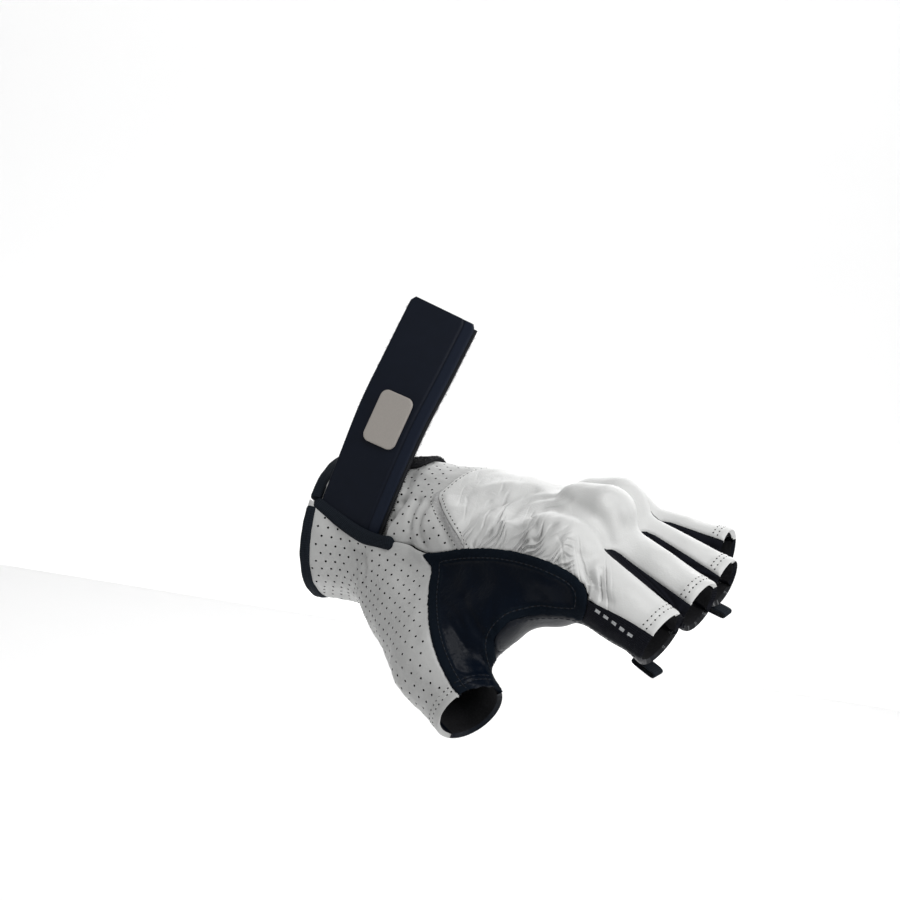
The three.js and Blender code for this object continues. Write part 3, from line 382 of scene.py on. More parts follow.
def run_length(line):
    """Distance along a line to each of its points."""
    return np.concatenate([[0], np.cumsum(np.linalg.norm(np.diff(line, axis=0), axis=1))])


def resampled(line, count):
    at = run_length(line)
    s = np.linspace(0, at[-1], count)
    return np.stack([np.interp(s, at, line[:, k]) for k in range(line.shape[1])], 1)


def share_along(points, a, b):
    """How far along a straight piece from a to b the nearest place is, 0 to 1."""
    return np.clip((points - a) @ (b - a) / max((b - a) @ (b - a), TINY), 0, 1)


def line_distance(points, line):
    line = np.asarray(line, float)
    best = np.full(len(points), FAR)
    for a, b in zip(line[:-1], line[1:]):
        t = share_along(points, a, b)
        best = np.minimum(best, ((points - a - t[:, None] * (b - a)) ** 2).sum(1))
    return np.sqrt(best)


def outline_distance(points, outline):
    """Signed distance to a closed outline, negative inside."""
    out = np.asarray(outline, float)
    inside = np.zeros(len(points), bool)
    for a, b in zip(out, np.roll(out, -1, axis=0)):
        ab = b - a
        crosses = (a[1] > points[:, 1]) != (b[1] > points[:, 1])
        x = a[0] + (points[:, 1] - a[1]) * ab[0] / (ab[1] if ab[1] else TINY)
        inside ^= crosses & (points[:, 0] < x)
    return np.where(inside, -1, 1) * line_distance(points, np.vstack([out, out[:1]]))


class HeightTable:
    """A surface given by rows and named columns of heights, rounded between the rows."""

    def __init__(self, rows, key, columns):
        self.across = np.array([columns[c] for c in columns], float)
        table = np.array([[r[key]] + [r[c] for c in columns] for r in rows], float)
        self.table = smooth_line(table, 160)
        self.table = self.table[np.argsort(self.table[:, 0])]

    def at(self, along, across):
        cols = [np.interp(along, self.table[:, 0], self.table[:, 1 + k]) for k in range(len(self.across))]
        cols = np.stack(cols, 1)
        x = np.clip(across, self.across[0], self.across[-1])
        i = np.clip(np.searchsorted(self.across, x) - 1, 0, len(self.across) - 2)
        t = (x - self.across[i]) / (self.across[i + 1] - self.across[i])
        rows = np.arange(len(x))
        return cols[rows, i] * (1 - t) + cols[rows, i + 1] * t


def waves(points, wavelength, seed):
    """Soft band-limited noise, about -2 to 2."""
    count = 14
    rng = np.random.default_rng(seed)
    k = unit(rng.normal(size=(count, points.shape[1])))
    k *= (2 * np.pi / (wavelength * rng.uniform(0.75, 1.35, count)))[:, None]
    return np.sin(points @ k.T + rng.uniform(0, 2 * np.pi, count)).sum(1) / math.sqrt(count / 2)


def step(x, low, high):
    t = np.clip((x - low) / (high - low), 0, 1)
    return t * t * (3 - 2 * t)


def ridge(x, at, width):
    """One where x is at, falling off softly to both sides."""
    return np.exp(-((x - at) / width) ** 2)


def squared_round(angle, long, wide, long_power, wide_power):
    """An oval between an ellipse and a rectangle."""
    sides = ((np.cos(angle), long_power, long), (np.sin(angle), wide_power, wide))
    return np.stack([np.sign(x) * np.abs(x) ** power * size for x, power, size in sides], 1)


WEB_LINE = smooth_line(WEB_PATCH, 120, closed=True)
KNUCKLE_LINE = smooth_line(KNUCKLE_SEAM, 70)
VENT_LINE = smooth_line(VENT_EDGE, 90)
WRIST_HEIGHTS = HeightTable(WRIST_LINE, "x", WRIST_COLUMNS)


# The hand's form.


def form_links():
    links = []

    def add(a, ra, b, rb, blend):
        links.append((np.array(a, float), ra, np.array(b, float), rb, blend))

    for name, f in FINGERS.items():
        bone = HAND_BONES[name]
        add(HAND.world(bone["start"]), bone["r"], HAND.world(bone["end"]), bone["end_r"], 10)
        taper = (f["r0"] - f["r1"]) / (f["tail"] - 14)
        tail = f["tail"]
        add(finger_point(name, 0), f["r0"], finger_point(name, tail), f["r0"] - taper * tail, 5)
        bump = np.array(bone["bump"], float)
        add(HAND.world(bump - (5, 0, 0)), bone["bump_r"], HAND.world(bump + (5, 0, -1)), bone["bump_r"], 5)
    at, r = np.array(THUMB_ROOT, float), THUMB_ROOT_R
    for link in THUMB_LINKS:
        end = at + heading(link["yaw"], link["flex"]) * link["length"]
        add(HAND.world(at), r, HAND.world(end), link["r"], link["blend"])
        at, r = end, link["r"]
    for f in FLESH:
        add(HAND.world(f["a"]), f["ra"], HAND.world(f["b"]), f["rb"], f["blend"])
    return links


LINKS = form_links()
THUMB_MIDDLE = LINKS[-len(FLESH) - 2]


def cuff_halves(x):
    """Half width and half height of the form's cuff."""
    t = np.clip((x - CUFF["x0"]) / (CUFF["x1"] - CUFF["x0"]), 0, 1)
    return CUFF["y0"] + (CUFF["y1"] - CUFF["y0"]) * t, CUFF["z0"] + (CUFF["z1"] - CUFF["z0"]) * t


def form_field(p):
    """Distance to the form and its gradient."""
    hy, hz = cuff_halves(p[:, 0])
    r = np.sqrt((p[:, 1] / hy) ** 2 + (p[:, 2] / hz) ** 2) + 1e-9
    least = np.minimum(hy, hz)
    d = (r - 1) * least
    g = np.stack([np.zeros(len(p)), p[:, 1] / hy**2, p[:, 2] / hz**2], 1) * (least / r)[:, None]
    for end in (CUFF["x0"] - p[:, 0], p[:, 0] - CUFF["x1"]):
        past = end > d
        d = np.where(past, end, d)
        g[past] = (np.sign(p[past, :1] - 10)) * np.array([[1.0, 0, 0]])
    for a, ra, b, rb, k in LINKS:
        t = share_along(p, a, b)
        q = p - a - t[:, None] * (b - a)
        r = np.sqrt((q * q).sum(1)) + 1e-9
        near = r - (ra + (rb - ra) * t)
        h = np.clip(0.5 + 0.5 * (near - d) / k, 0, 1)
        d = near + (d - near) * h - k * h * (1 - h)
        g = g * h[:, None] + (q / r[:, None]) * (1 - h)[:, None]
    return d, g


# Meshes as arrays: points with normals, and triangles.


def deselect():
    if bpy.context.object and bpy.context.object.mode != "OBJECT":
        bpy.ops.object.mode_set(mode="OBJECT")
    bpy.ops.object.select_all(action="DESELECT")


def pick(*objects):
    deselect()
    for o in objects:
        o.select_set(True)
    bpy.context.view_layer.objects.active = objects[0]


def apply_modifier(obj, kind, **settings):
    pick(obj)
    mod = obj.modifiers.new(kind.lower(), kind)
    for key, value in settings.items():
        setattr(mod, key, value)
    bpy.ops.object.modifier_apply(modifier=mod.name)


def cut_out(obj, tool, what, **settings):
    """Takes the tool's shape out of an object."""
    before = len(obj.data.polygons)
    apply_modifier(obj, "BOOLEAN", operation="DIFFERENCE", object=tool, **settings)
    bpy.data.objects.remove(tool)
    if len(obj.data.polygons) == before:
        raise RuntimeError(f"{what} did not cut")


def edit(obj, *steps):
    """Runs operators with their settings on the whole mesh in edit mode."""
    pick(obj)
    bpy.ops.object.mode_set(mode="EDIT")
    for operator, settings in steps:
        bpy.ops.mesh.select_all(action="SELECT")
        operator(**settings)
    bpy.ops.object.mode_set(mode="OBJECT")


def read(items, name, width, kind):
    values = np.empty(len(items) * width, kind)
    items.foreach_get(name, values)
    return values.reshape(-1, width)


def points_of(obj):
    return read(obj.data.vertices, "co", 3, np.float32).astype(float)


def set_points(obj, v):
    """Puts the points of an object in place, in metres."""
    obj.data.vertices.foreach_set("co", v.astype(np.float32).ravel())


def triangles_of(obj):
    obj.data.calc_loop_triangles()
    return read(obj.data.loop_triangles, "vertices", 3, np.int32)


def corners_of(obj):
    """The point at each corner of each face."""
    return read(obj.data.loops, "vertex_index", 1, np.int32).ravel()


def set_map(mesh, uv):
    layer = mesh.uv_layers.new(name="lie")
    layer.data.foreach_set("uv", uv.astype(np.float32).ravel())


def edges_of(tri):
    e = np.sort(np.vstack([tri[:, [0, 1]], tri[:, [1, 2]], tri[:, [2, 0]]]), axis=1)
    return np.unique(e, axis=0)


def corners(values, tri):
    return (values[tri[:, k]] for k in range(3))


def space_areas(v, tri):
    """Twice the area of each triangle."""
    a, b, c = corners(v, tri)
    return np.linalg.norm(np.cross(b - a, c - a), axis=1)


def flat_areas(uv, tri):
    """Twice the area of each triangle laid flat."""
    a, b, c = corners(uv, tri)
    return np.abs((b - a)[:, 0] * (c - a)[:, 1] - (b - a)[:, 1] * (c - a)[:, 0])


def point_normals(v, tri):
    a, b, c = corners(v, tri)
    n = np.cross(b - a, c - a)
    out = np.zeros_like(v)
    for k in range(3):
        for axis in range(3):
            out[:, axis] += np.bincount(tri[:, k], n[:, axis], len(v))
    return unit(out)


def neighbour_mean(values, edges):
    count = np.bincount(edges.ravel(), minlength=len(values))
    total = np.zeros_like(values)
    for axis in range(values.shape[1]):
        total[:, axis] += np.bincount(edges[:, 0], values[edges[:, 1], axis], len(values))
        total[:, axis] += np.bincount(edges[:, 1], values[edges[:, 0], axis], len(values))
    return total / np.maximum(count, 1)[:, None]


def split(v, tri, value):
    """Cuts triangles where value is nought. Returns points, triangles below and triangles above."""
    value = np.where(np.abs(value) < 1e-5, 1e-5, value)
    below = value[tri] < 0
    count = below.sum(1)
    mixed = (count == 1) | (count == 2)
    m, b = tri[mixed], below[mixed]
    odd_is_below = count[mixed] == 1
    odd = np.argmax(b == odd_is_below[:, None], axis=1)
    rows = np.arange(len(m))
    o, p, q = (m[rows, (odd + k) % 3] for k in range(3))
    ends = np.vstack([np.stack([o, p], 1), np.stack([o, q], 1)])
    unique, back = np.unique(np.sort(ends, axis=1), axis=0, return_inverse=True)
    back = back.ravel()
    a, c = unique[:, 0], unique[:, 1]
    t = (value[a] / (value[a] - value[c]))[:, None]
    t = np.clip(t, 0.02, 0.98)
    new = v[a] * (1 - t) + v[c] * t
    op, oq = len(v) + back[: len(m)], len(v) + back[len(m):]
    tip = np.stack([o, op, oq], 1)
    rest = np.vstack([np.stack([op, p, q], 1), np.stack([op, q, oq], 1)])
    twice = np.concatenate([odd_is_below, odd_is_below])
    low = np.vstack([tri[count == 3], tip[odd_is_below], rest[~twice]])
    high = np.vstack([tri[count == 0], tip[~odd_is_below], rest[twice]])
    return np.vstack([v, new]), low, high


def compact(v, tri):
    used, back = np.unique(tri, return_inverse=True)
    return v[used], back.reshape(tri.shape)


def main_parts(v, tri, least):
    """Parts of at least so many triangles, and the crumbs beside them."""
    edges = edges_of(tri)
    label = np.arange(len(v))
    while True:
        low = np.minimum(label[edges[:, 0]], label[edges[:, 1]])
        new = label.copy()
        np.minimum.at(new, edges[:, 0], low)
        np.minimum.at(new, edges[:, 1], low)
        new = new[new]
        if (new == label).all():
            break
        label = new
    of_tri = label[tri[:, 0]]
    size = np.bincount(of_tri, minlength=len(v))
    large = size[of_tri] >= least
    return tri[large], tri[~large]


def border_edges(tri):
    e = np.vstack([tri[:, [0, 1]], tri[:, [1, 2]], tri[:, [2, 0]]])
    key = np.sort(e, axis=1)
    _, first, count = np.unique(key, axis=0, return_index=True, return_counts=True)
    return e[first[count == 1]]


def tree_of(points):
    tree = kdtree.KDTree(len(points))
    for i, p in enumerate(points):
        tree.insert(p, i)
    tree.balance()
    return tree


def nearest_of(points):
    """A function that gives the nearest of the points to each place."""
    tree = tree_of(points)
    return lambda places: np.array([tree.find(q)[1] for q in places])


def distance_to(points, targets):
    """Distance to the nearest target, and which one it is."""
    if not len(targets):
        return np.full(len(points), 99.0), np.zeros(len(points), int)
    tree = tree_of(targets)
    found = [tree.find(p) for p in points]
    return np.array([f[2] for f in found]), np.array([f[1] for f in found])


# The leather as one skin over the form, and the pieces cut from it.


def from_points(name, v_mm, faces, uv=None):
    mesh = bpy.data.meshes.new(name)
    mesh.from_pydata((np.asarray(v_mm) * MM).tolist(), [], np.asarray(faces).tolist())
    if uv is not None:
        set_map(mesh, uv[np.asarray(faces).ravel()])
    obj = bpy.data.objects.new(name, mesh)
    bpy.context.scene.collection.objects.link(obj)
    return obj


def block_out():
    """Balls and cones along the hand's bones, joined and remeshed to an even skin."""
    deselect()
    parts = []
    for a, ra, b, rb, _ in LINKS:
        for centre, r in ((a, ra), (b, rb)):
            bpy.ops.mesh.primitive_uv_sphere_add(
                segments=32, ring_count=16, radius=r * MM, location=centre * MM)
            parts.append(bpy.context.object)
        turn = Vector(b - a).to_track_quat("Z", "Y").to_euler()
        bpy.ops.mesh.primitive_cone_add(
            vertices=32, radius1=ra * MM, radius2=rb * MM, depth=np.linalg.norm(b - a) * MM,
            location=(a + b) / 2 * MM, rotation=turn)
        parts.append(bpy.context.object)
    middle = (CUFF["x0"] + CUFF["x1"]) / 2
    bpy.ops.mesh.primitive_cylinder_add(
        vertices=64, radius=1, depth=(CUFF["x1"] - CUFF["x0"]) * MM, location=(middle * MM, 0, 0),
        rotation=(0, math.pi / 2, 0))
    cuff = bpy.context.object
    cuff.scale = (CUFF["z0"] * MM * 0.95, CUFF["y0"] * MM * 0.95, 1)
    parts.append(cuff)
    pick(*parts)
    bpy.ops.object.join()
    skin = bpy.context.object
    skin.name = "skin"
    bpy.ops.object.transform_apply(location=True, rotation=True, scale=True)
    apply_modifier(skin, "REMESH", mode="VOXEL", voxel_size=sizes().mesh_pitch)
    return skin


def fit_to_form(v, tri, rounds=12):
    """Moves the rough skin onto the form in small steps, evened out between them so that it never folds."""
    edges = edges_of(tri)
    for _ in range(12):
        v = v + 0.6 * (neighbour_mean(v, edges) - v)
    for turn in range(rounds):
        d, g = form_field(v)
        share = 0.6 if turn < rounds / 2 else 1.0
        v = v - share * np.clip(d, -1, 1)[:, None] * g / np.maximum((g * g).sum(1), 0.5)[:, None]
        if turn < rounds - 1:
            n = unit(g)
            pull = neighbour_mean(v, edges) - v
            v = v + 0.7 * (pull - (pull * n).sum(1, keepdims=True) * n)
    return v


def cut_slits(skin):
    """Parts neighbouring fingers with thin blades from the crotch on."""
    for row in FOURCHETTES:
        axes = between_fingers(row)
        deselect()
        bpy.ops.mesh.primitive_grid_add(x_subdivisions=72, y_subdivisions=90, size=1)
        blade = bpy.context.object
        q = points_of(blade)
        place = np.stack([row["crotch"] + (q[:, 0] + 0.5) * 56, np.full(len(q), -0.5), q[:, 1] * 72], 1)
        set_points(blade, axes.world(place) * MM)
        side = 1 if np.dot(blade.data.polygons[0].normal, axes.rows[1]) > 0 else -1
        apply_modifier(blade, "SOLIDIFY", thickness=MM, offset=side)
        cut_out(skin, blade, "the slit between two fingers", solver="MANIFOLD")


def round_slits(v, tri):
    """Rounds the edges that the blades left."""
    weight = np.zeros(len(v))
    for row in FOURCHETTES:
        q = between_fingers(row).local(v)
        near = step(3.4 - np.abs(q[:, 1]), 0, 1.2) * step(q[:, 0], row["crotch"] - 4, row["crotch"] - 1)
        depth = -form_field(v)[0]
        weight = np.maximum(weight, near * step(5.0 - depth, 0, 3.0))
    edges = edges_of(tri)
    for _ in range(7):
        v = v + 0.6 * weight[:, None] * (neighbour_mean(v, edges) - v)
    return v


def hem_height(v):
    """How far past its hem each point is: negative is inside."""
    best = np.full(len(v), FAR)
    past = np.full(len(v), -30.0)
    for name, f in FINGERS.items():
        a, b = finger_point(name, 0), finger_point(name, f["tail"])
        t = share_along(v, a, b)
        d = np.linalg.norm(v - a - t[:, None] * (b - a), axis=1) - (f["r0"] + (f["r1"] - f["r0"]) * t)
        here = d < best
        best = np.where(here, d, best)
        past = np.where(here, (v - finger_point(name, f["cuff"])) @ unit(b - a), past)
    a, ra, b, _, _ = THUMB_MIDDLE
    t = share_along(v, a, b)
    d = np.linalg.norm(v - a - t[:, None] * (b - a), axis=1) - ra
    thumb = (d < best) & (t > 0.2)
    past = np.where(thumb, (v - a - THUMB_HEM * (b - a)) @ unit(b - a), past)
    return past


def rim_height(v):
    return -(v[:, 0] + RIM_TILT * v[:, 2])


def knuckle_outline():
    return [(220, -41)] + [tuple(p) for p in KNUCKLE_LINE] + [(220, 50)]


def cutters():
    """Name of each piece, in the order they are cut, and its distance: negative inside."""
    top = HeightTable(TOP_LINE, "x", TOP_COLUMNS)
    reach = HeightTable(REACH, "up", REACH_COLUMNS)
    knuckle = knuckle_outline()
    grip = [(220, -60)] + GRIP_START + [(220, 60)]

    def above_top(v):
        q = HAND.local(v)
        return top.at(q[:, 0], q[:, 1]) - q[:, 2]

    def above_reach(v):
        q = SIDE.local(v)
        return reach.at(q[:, 1], q[:, 0]) - q[:, 2]

    def fourchette(row):
        def distance(v):
            q = between_fingers(row).local(v)
            tip, full, half = row["tip"], row["full"], row["half"]
            right = [(tip, half * 0.4), (tip + 0.5, half * 0.7), (tip + 1.6, half * 0.88)]
            right += [(full, half), (75, half)]
            outline = [(x, -y) for x, y in right] + right[::-1]
            return np.maximum(outline_distance(q[:, :2], outline), FOURCHETTE_DEPTH - q[:, 2])
        return distance

    def web_patch(v):
        q = SIDE.local(v)
        fray = 0.10 * waves(v, 1.6, 5)
        return np.maximum(outline_distance(q[:, :2], WEB_LINE) + fray, np.maximum(-q[:, 2], above_reach(v)))

    def back_panel(v):
        q = HAND.local(v)
        return np.maximum(outline_distance(q[:, :2], knuckle), above_top(v))

    def index_side(v):
        q = SIDE.local(v)
        outer = np.maximum(60 - q[:, 2], HAND.local(v)[:, 1] + 29)
        return np.maximum(outline_distance(q[:, :2], INDEX_SIDE), outer)

    def pinky_side(v):
        q = HAND.local(v)
        return np.maximum(np.maximum(outline_distance(q[:, [0, 2]], PINKY_SIDE), 36 - q[:, 1]), -above_top(v))

    def grip_panel(v):
        return np.maximum(outline_distance(HAND.local(v)[:, :2], grip), -above_top(v))

    def wrist_panel(v):
        return WRIST_HEIGHTS.at(v[:, 0], v[:, 1]) - v[:, 2]

    order = [(row["name"], fourchette(row)) for row in FOURCHETTES]
    order += [("web_patch", web_patch), ("back_panel", back_panel), ("index_side", index_side)]
    order += [("pinky_side", pinky_side), ("grip_panel", grip_panel), ("wrist_panel", wrist_panel)]
    return order + [("thumb_panel", above_reach)]


HIDE = {}


def cut_hide():
    """Every piece of the skin under its name in HIDE, the loop pad among them: points with normals,
    triangles.
    """
    if HIDE:
        return HIDE
    skin = block_out()
    tri = triangles_of(skin)
    v = fit_to_form(points_of(skin) / MM, tri)
    set_points(skin, v * MM)
    cut_slits(skin)
    tri = triangles_of(skin)
    v = round_slits(points_of(skin) / MM, tri)
    bpy.data.objects.remove(skin)
    n = point_normals(v, tri)
    edges = edges_of(tri)
    for _ in range(2):
        n = unit(0.5 * n + 0.5 * neighbour_mean(n, edges))
    state = np.hstack([v, n])
    pad = np.maximum(outline_distance(v[:, :2], smooth_line(LOOP_PAD, 60, closed=True)), 8 - v[:, 2])
    padded, under, _ = split(state, tri, pad)
    HIDE["loop_pad"] = compact(padded, under)
    for trim in (hem_height, rim_height):
        state, tri, _ = split(state, tri, trim(state[:, :3]))
        state, tri = compact(state, tri)
    for name, distance in cutters():
        state, piece, tri = split(state, tri, distance(state[:, :3]))
        if not len(piece):
            raise RuntimeError(f"nothing is left for {name}")
        piece, crumbs = main_parts(state, piece, 400)
        HIDE[name] = compact(state, piece)
        state, tri = compact(state, np.vstack([tri, crumbs]))
    HIDE["palm_panel"] = compact(state, main_parts(state, tri, 60)[0])
    return HIDE


class Piece:
    """A sheet of the skin with its distances to the seams, hems and rim around it."""

    def __init__(self, name):
        state, self.tri = cut_hide()[name]
        self.name = name
        self.v = state[:, :3].copy()
        self.n = unit(state[:, 3:])
        border = border_edges(self.tri)
        a, b = self.v[border[:, 0]], self.v[border[:, 1]]
        points = np.vstack([a, (a + b) / 2])
        hem = np.abs(hem_height(points)) < AT_EDGE
        rim = np.abs(rim_height(points)) < AT_EDGE
        place = HAND.local(points)
        knuckle = line_distance(place[:, :2], KNUCKLE_LINE) < 0.5
        knuckle &= ~hem & (place[:, 2] > 0)
        self.hem, _ = distance_to(self.v, points[hem])
        self.rim, _ = distance_to(self.v, points[rim])
        self.knuckle, _ = distance_to(self.v, points[knuckle])
        self.seam, _ = distance_to(self.v, points[~hem & ~rim])
        self.edge, _ = distance_to(self.v, points)
        self.border = border
        self.out = np.zeros(len(self.v))
        self.uv = None

    def unwrap(self, toward, at=None):
        """Lays the sheet flat in millimetres, with its u axis along toward at a point."""
        at = self.v[np.argmin(np.linalg.norm(self.v - self.v.mean(0), axis=1))] if at is None else at
        obj = from_points("flat", self.v, self.tri)
        obj.data.uv_layers.new(name="lie")
        edit(obj, (bpy.ops.uv.unwrap, dict(method="ANGLE_BASED", fill_holes=True, margin=0.0)))
        uv = np.zeros((len(self.v), 2))
        uv[corners_of(obj)] = read(obj.data.uv_layers[0].data, "uv", 2, np.float32)
        bpy.data.objects.remove(obj)
        a, b, c = corners(self.v, self.tri)
        ua, ub, uc = corners(uv, self.tri)
        scale = math.sqrt(space_areas(self.v, self.tri).sum() / flat_areas(uv, self.tri).sum())
        near = np.linalg.norm((a + b + c) / 3 - np.asarray(at, float), axis=1) < 9
        if not near.any():
            raise RuntimeError(f"{self.name} has nothing near the point that its pattern is set by")
        toward = unit(np.asarray(toward, float))
        e1, e2 = ((b - a) @ toward)[near], ((c - a) @ toward)[near]
        sides = np.vstack([(ub - ua)[near], (uc - ua)[near]])
        grad, *_ = np.linalg.lstsq(sides, np.concatenate([e1, e2]), rcond=None)
        turn = math.atan2(grad[1], grad[0])
        c0, s0 = math.cos(-turn), math.sin(-turn)
        uv = uv @ np.array([[c0, s0], [-s0, c0]]) * scale
        middle = uv[np.argmin(np.linalg.norm(self.v - np.asarray(at, float), axis=1))]
        self.uv = uv - middle

    def lay(self, axes, top):
        """Lays a finger's side strip flat: along the finger, and across and down both sides."""
        q = axes.local(self.v)
        self.uv = np.stack([q[:, 0], q[:, 1] + np.sign(q[:, 1]) * np.maximum(top - q[:, 2], 0)], 1)
        self.uv *= [1.0, space_areas(self.v, self.tri).sum() / flat_areas(self.uv, self.tri).sum()]

    def make_room(self):
        """Sinks the leather under the strap's root, with soft banks beside it."""
        at, face, out = strap_frames(160)
        i = nearest_of(at)(self.v)
        rel = self.v - at[i]
        side = np.abs((rel * face[i]).sum(1))
        high = (rel * out[i]).sum(1)
        reach = step(19.5 - side, 0, 4.5) * step(self.v[:, 2], 4, 10) * step(9 - high, 0, 3) * (i < 60)
        self.v -= out[i] * (np.maximum(high + 3.0, 0) * reach)[:, None]

    def fold(self, share=1.0):
        for f in FOLDS:
            line = smooth_line(f["line"], 14) if len(f["line"]) > 2 else np.array(f["line"], float)
            near = (np.abs(self.v - line.mean(0)) < 30).all(1)
            d = line_distance(self.v[near], line) / f["width"]
            self.out[near] -= share * f["depth"] * np.exp(-d * d)

    def relax(self):
        """Opens valleys too sharp for leather to follow, away from the edges."""
        edges = edges_of(self.tri)
        share = 0.5 * step(self.edge, 0.8, 4)[:, None]
        for _ in range(24):
            self.v += share * (neighbour_mean(self.v, edges) - self.v)
        self.n = point_normals(self.v, self.tri)
        for _ in range(4):
            self.n = unit(0.5 * self.n + 0.5 * neighbour_mean(self.n, edges))

    def soften(self, depth, wavelength, seed):
        self.out += depth * waves(self.v, wavelength, seed) * step(self.edge, 0, 6)

    def crease(self, depth, width, spacing, seed, stretch, mask):
        """Thin wandering creases where a soft noise crosses nought; stretch draws them out along an axis."""
        axis, times = unit(np.array(stretch[0], float)), stretch[1]
        q = self.v - (self.v @ axis)[:, None] * axis * (1 - 1 / times)
        w = waves(q, spacing, seed) / 1.2
        line = np.exp(-(w / width) ** 2)
        fade = np.clip(waves(self.v, spacing * 2.5, seed + 50) * 0.5 + 0.6, 0, 1)
        self.out -= depth * line * fade * mask

    def pucker(self, depth, pitch, reach, seed, where=None):
        """Short folds that run off a seam square to it."""
        border = self.v[self.border[:, 0]]
        if where is not None:
            border = border[where(border)]
        if not len(border):
            return
        s, i = distance_to(self.v, border)
        foot = border[i]
        phase = waves(foot, pitch * 1.6, seed) * 2.2 + waves(self.v, pitch * 4, seed + 1) * 0.5
        long = reach * (0.75 + 0.45 * waves(foot, pitch * 2.5, seed + 2))
        fall = np.exp(-s / np.maximum(long, 0.8)) * step(s, 0.3, 1.4)
        self.out -= depth * fall * (0.5 - 0.5 * np.cos(phase * 2.2)) ** 1.5

    def gather(self, run, away, depth, pitch, reach, seed, lean, mask):
        """Fine folds off a seam: run is the distance along it, away the distance from it."""
        spot = np.column_stack([run, 0.4 * away])
        turn = (run + lean * away) / pitch + 0.3 * waves(spot, pitch * 3, seed)
        long = reach * np.clip(1 + 0.35 * waves(spot, pitch * 2, seed + 1), 0.3, 2)
        strong = np.clip(0.85 + 0.4 * waves(spot, pitch * 4, seed + 2), 0.15, 1.5)
        fall = np.exp(-(away / long) ** 1.8) * step(away, -0.6, 1.0) * mask
        self.out -= depth * strong * fall * (0.5 + 0.5 * np.cos(2 * math.pi * turn)) ** 1.2
        return turn, strong * fall

    def round_edge(self, depth, width):
        self.out -= depth * np.clip(1 - self.edge / width, 0, 1) ** 2

    def hem_fold(self):
        self.out += 0.3 * step(HEM_WIDTH - self.hem, 0, 0.9)
        for row in HEM_ROWS:
            self.out -= 0.22 * ridge(self.hem, row, 0.45)

    def surface(self):
        return self.v + self.n * self.out[:, None]

    def contour(self, value, level, keep=None):
        """Lines on the finished surface where value passes level, as lists of points and normals."""
        s = self.surface()
        n = point_normals(s, self.tri)
        val = np.where(np.abs(value - level) < 1e-6, 1e-6, value - level)
        sign = val[self.tri] < 0
        crossing = (sign.any(1)) & (~sign.all(1))
        ends = {}
        links = []
        for t in self.tri[crossing]:
            here = []
            for a, b in ((t[0], t[1]), (t[1], t[2]), (t[2], t[0])):
                if (val[a] < 0) != (val[b] < 0):
                    here.append((min(a, b), max(a, b)))
            links.append(here)
            for e in here:
                ends.setdefault(e, []).append(len(links) - 1)
        done = set()
        lines = []
        starts = sorted(ends, key=lambda e: (len(ends[e]), e))
        for start in starts:
            if start in done:
                continue
            path = [start]
            done.add(start)
            grown = True
            while grown:
                grown = False
                for i in ends[path[-1]]:
                    for e in links[i]:
                        if e not in done:
                            path.append(e)
                            done.add(e)
                            grown = True
                            break
                    if grown:
                        break
            if len(path) > 6:
                e = np.array(path)
                t = (val[e[:, 0]] / (val[e[:, 0]] - val[e[:, 1]]))[:, None]
                at = s[e[:, 0]] * (1 - t) + s[e[:, 1]] * t
                out = unit(n[e[:, 0]] * (1 - t) + n[e[:, 1]] * t)
                if keep is not None:
                    good = keep(at)
                    runs = np.split(np.arange(len(at)), np.where(np.diff(good.astype(int)))[0] + 1)
                    lines += [(at[r], out[r]) for r in runs if good[r[0]] and len(r) > 6]
                else:
                    lines.append((at, out))
        return lines


# Finishes.


class Wire:
    """A shader socket that takes part in arithmetic."""

    def __init__(self, look, socket):
        self.look = look
        self.socket = socket

    def _math(self, operation, other, swapped=False):
        pair = (other, self) if swapped else (self, other)
        return self.look.node("ShaderNodeMath", {"operation": operation}, {0: pair[0], 1: pair[1]})

    def __add__(self, other):
        return self._math("ADD", other)

    def __sub__(self, other):
        return self._math("SUBTRACT", other)

    def __rsub__(self, other):
        return self._math("SUBTRACT", other, True)

    def __mul__(self, other):
        return self._math("MULTIPLY", other)

    def __mod__(self, other):
        return self._math("FLOORED_MODULO", other)

    def __abs__(self):
        return self._math("ABSOLUTE", 0.0)

    def __lt__(self, other):
        return self._math("LESS_THAN", other)

    def __gt__(self, other):
        return self._math("GREATER_THAN", other)

    def larger(self, other):
        return self._math("MAXIMUM", other)

    __radd__ = __add__
    __rmul__ = __mul__


